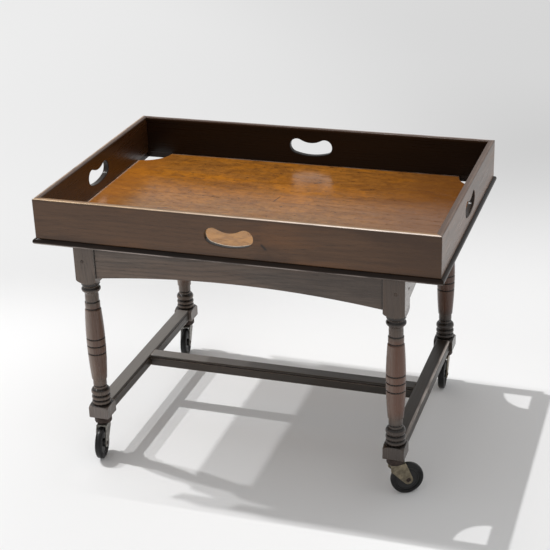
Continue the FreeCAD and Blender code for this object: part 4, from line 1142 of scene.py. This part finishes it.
def seen_or_mirrored(tree):
    """1 for what the camera, a mirror image or glass shows, 0 for plain light."""
    rays = add(tree, "LightPath").outputs
    return larger(larger(rays["Is Camera Ray"], rays["Is Glossy Ray"]), rays["Is Transmission Ray"])


def floor_paint():
    material, tree = new_material("white_floor")
    matt = add(tree, "BsdfDiffuse", {"Color": FLOOR_WHITE}).outputs[0]
    away = add(tree, "VectorMath", {0: rest_point(tree)}, operation="LENGTH").outputs["Value"]
    far = ramp(away, *HORIZON)
    near_level = ramp(rest_place(tree)["X"], *GLOW_SIDES, *GLOW_LEVELS)
    level = add(tree, "Mix", {0: far, 2: near_level, 3: SEEN_SKY}).outputs[0]
    glow = add(tree, "Emission", {"Color": (1, 1, 1, 1), "Strength": level}).outputs[0]
    share = plus(far, 0.25, ramp(away, *GLOW_REACH, 0.0, 0.75))
    share = times(share, seen_or_mirrored(tree))
    both = add(tree, "MixShader", {0: share, 1: matt, 2: glow}).outputs[0]
    clear = add(tree, "BsdfTransparent").outputs[0]
    below = add(tree, "NewGeometry").outputs["Backfacing"]
    one_sided = add(tree, "MixShader", {0: below, 1: both, 2: clear}).outputs[0]
    add(tree, "OutputMaterial", {"Surface": one_sided})
    return material


floor_mesh.materials.append(floor_paint())
print("floor", 2 * FLOOR_HALF, "m square")

# %% Lamps
def lamp(name, place, target, watts, size, cone, soft_edge):
    """A spot lamp that is aimed at a point."""
    data = bpy.data.lights.new(name, "SPOT")
    data.energy = watts
    data.shadow_soft_size = size
    data.spot_size = math.radians(cone)
    data.spot_blend = soft_edge
    made = new_object(name, data)
    made.location = place
    made.rotation_euler = (Vector(target) - Vector(place)).to_track_quat("-Z", "Y").to_euler()
    return made


# Place and target in metres, watts, size in metres, cone in degrees, softness of its edge
lamps = [lamp("lamp_overhead", (-0.58, 0.518, 4.098), (1.768, 0.25, 0), 375, 0.025, 57.1, 0.9),
         lamp("lamp_left", (-2.55, 0.4, 4.0), (-3.471, 0.276, 0), 325, 0.05, 104.9, 0.3),
         lamp("lamp_far_left", (-3.47, 0.45, 4.0), (-0.353, -0.644, 0), 267, 0.06, 28.6, 0.662)]
print("lamps", [made.name for made in lamps])

# %% Shadow linking and sky
passed = bpy.data.collections.new("passed_by_left_lamps")
for name in ("tray_left_wall", "tray_left_moulding"):
    passed.objects.link(NODES[name])
for entry in passed.collection_objects:
    entry.light_linking.link_state = "EXCLUDE"
for made in lamps[1:]:
    made.light_linking.blocker_collection = passed

world = bpy.data.worlds.new("studio")
bpy.context.scene.world = world
world.use_nodes = True
sky = world.node_tree
sky.nodes.clear()
level = ramp(add(sky, "LightPath").outputs["Is Camera Ray"], 0.0, 1.0, SKY_LIGHT, SEEN_SKY)
light = add(sky, "Background", {"Color": (1, 1, 1, 1), "Strength": level}).outputs[0]
add(sky, "OutputWorld", {"Surface": light})

# %% [markdown]
# ## Camera
#
# The picture was taken from the front and a little to the right, from above, with a long lens and the
# camera slightly tilted. The camera's place and turn were worked out from the corners of the tray
# and the legs, whose places are known. A camera looks along its own minus Z, so its three axes are
# set straight into its matrix.

# %% Camera
IMAGE_PIXELS = 550
FOCAL_PIXELS = 1357.6
CAMERA_PLACE = Vector((0.7867, -2.3199, 1.4114))
CAMERA_TURN = math.radians(-18.82)
CAMERA_DIP = math.radians(24.08)
CAMERA_TILT = math.radians(-1.97)

ahead = Vector((math.sin(CAMERA_TURN) * math.cos(CAMERA_DIP),
                math.cos(CAMERA_TURN) * math.cos(CAMERA_DIP), -math.sin(CAMERA_DIP)))
level_right = Vector((math.cos(CAMERA_TURN), -math.sin(CAMERA_TURN), 0))
level_up = level_right.cross(ahead)
right = level_right * math.cos(CAMERA_TILT) + level_up * math.sin(CAMERA_TILT)
up = level_up * math.cos(CAMERA_TILT) - level_right * math.sin(CAMERA_TILT)
lens = bpy.data.cameras.new("camera")
lens.sensor_width = 36.0
lens.lens = FOCAL_PIXELS * lens.sensor_width / IMAGE_PIXELS
camera = new_object("camera", lens)
axes = Matrix((right, up, -ahead)).transposed().to_4x4()
camera.matrix_world = Matrix.Translation(CAMERA_PLACE) @ axes
bpy.context.scene.camera = camera
bpy.context.scene.view_settings.view_transform = "Standard"
print("lens", round(lens.lens, 2), "mm")
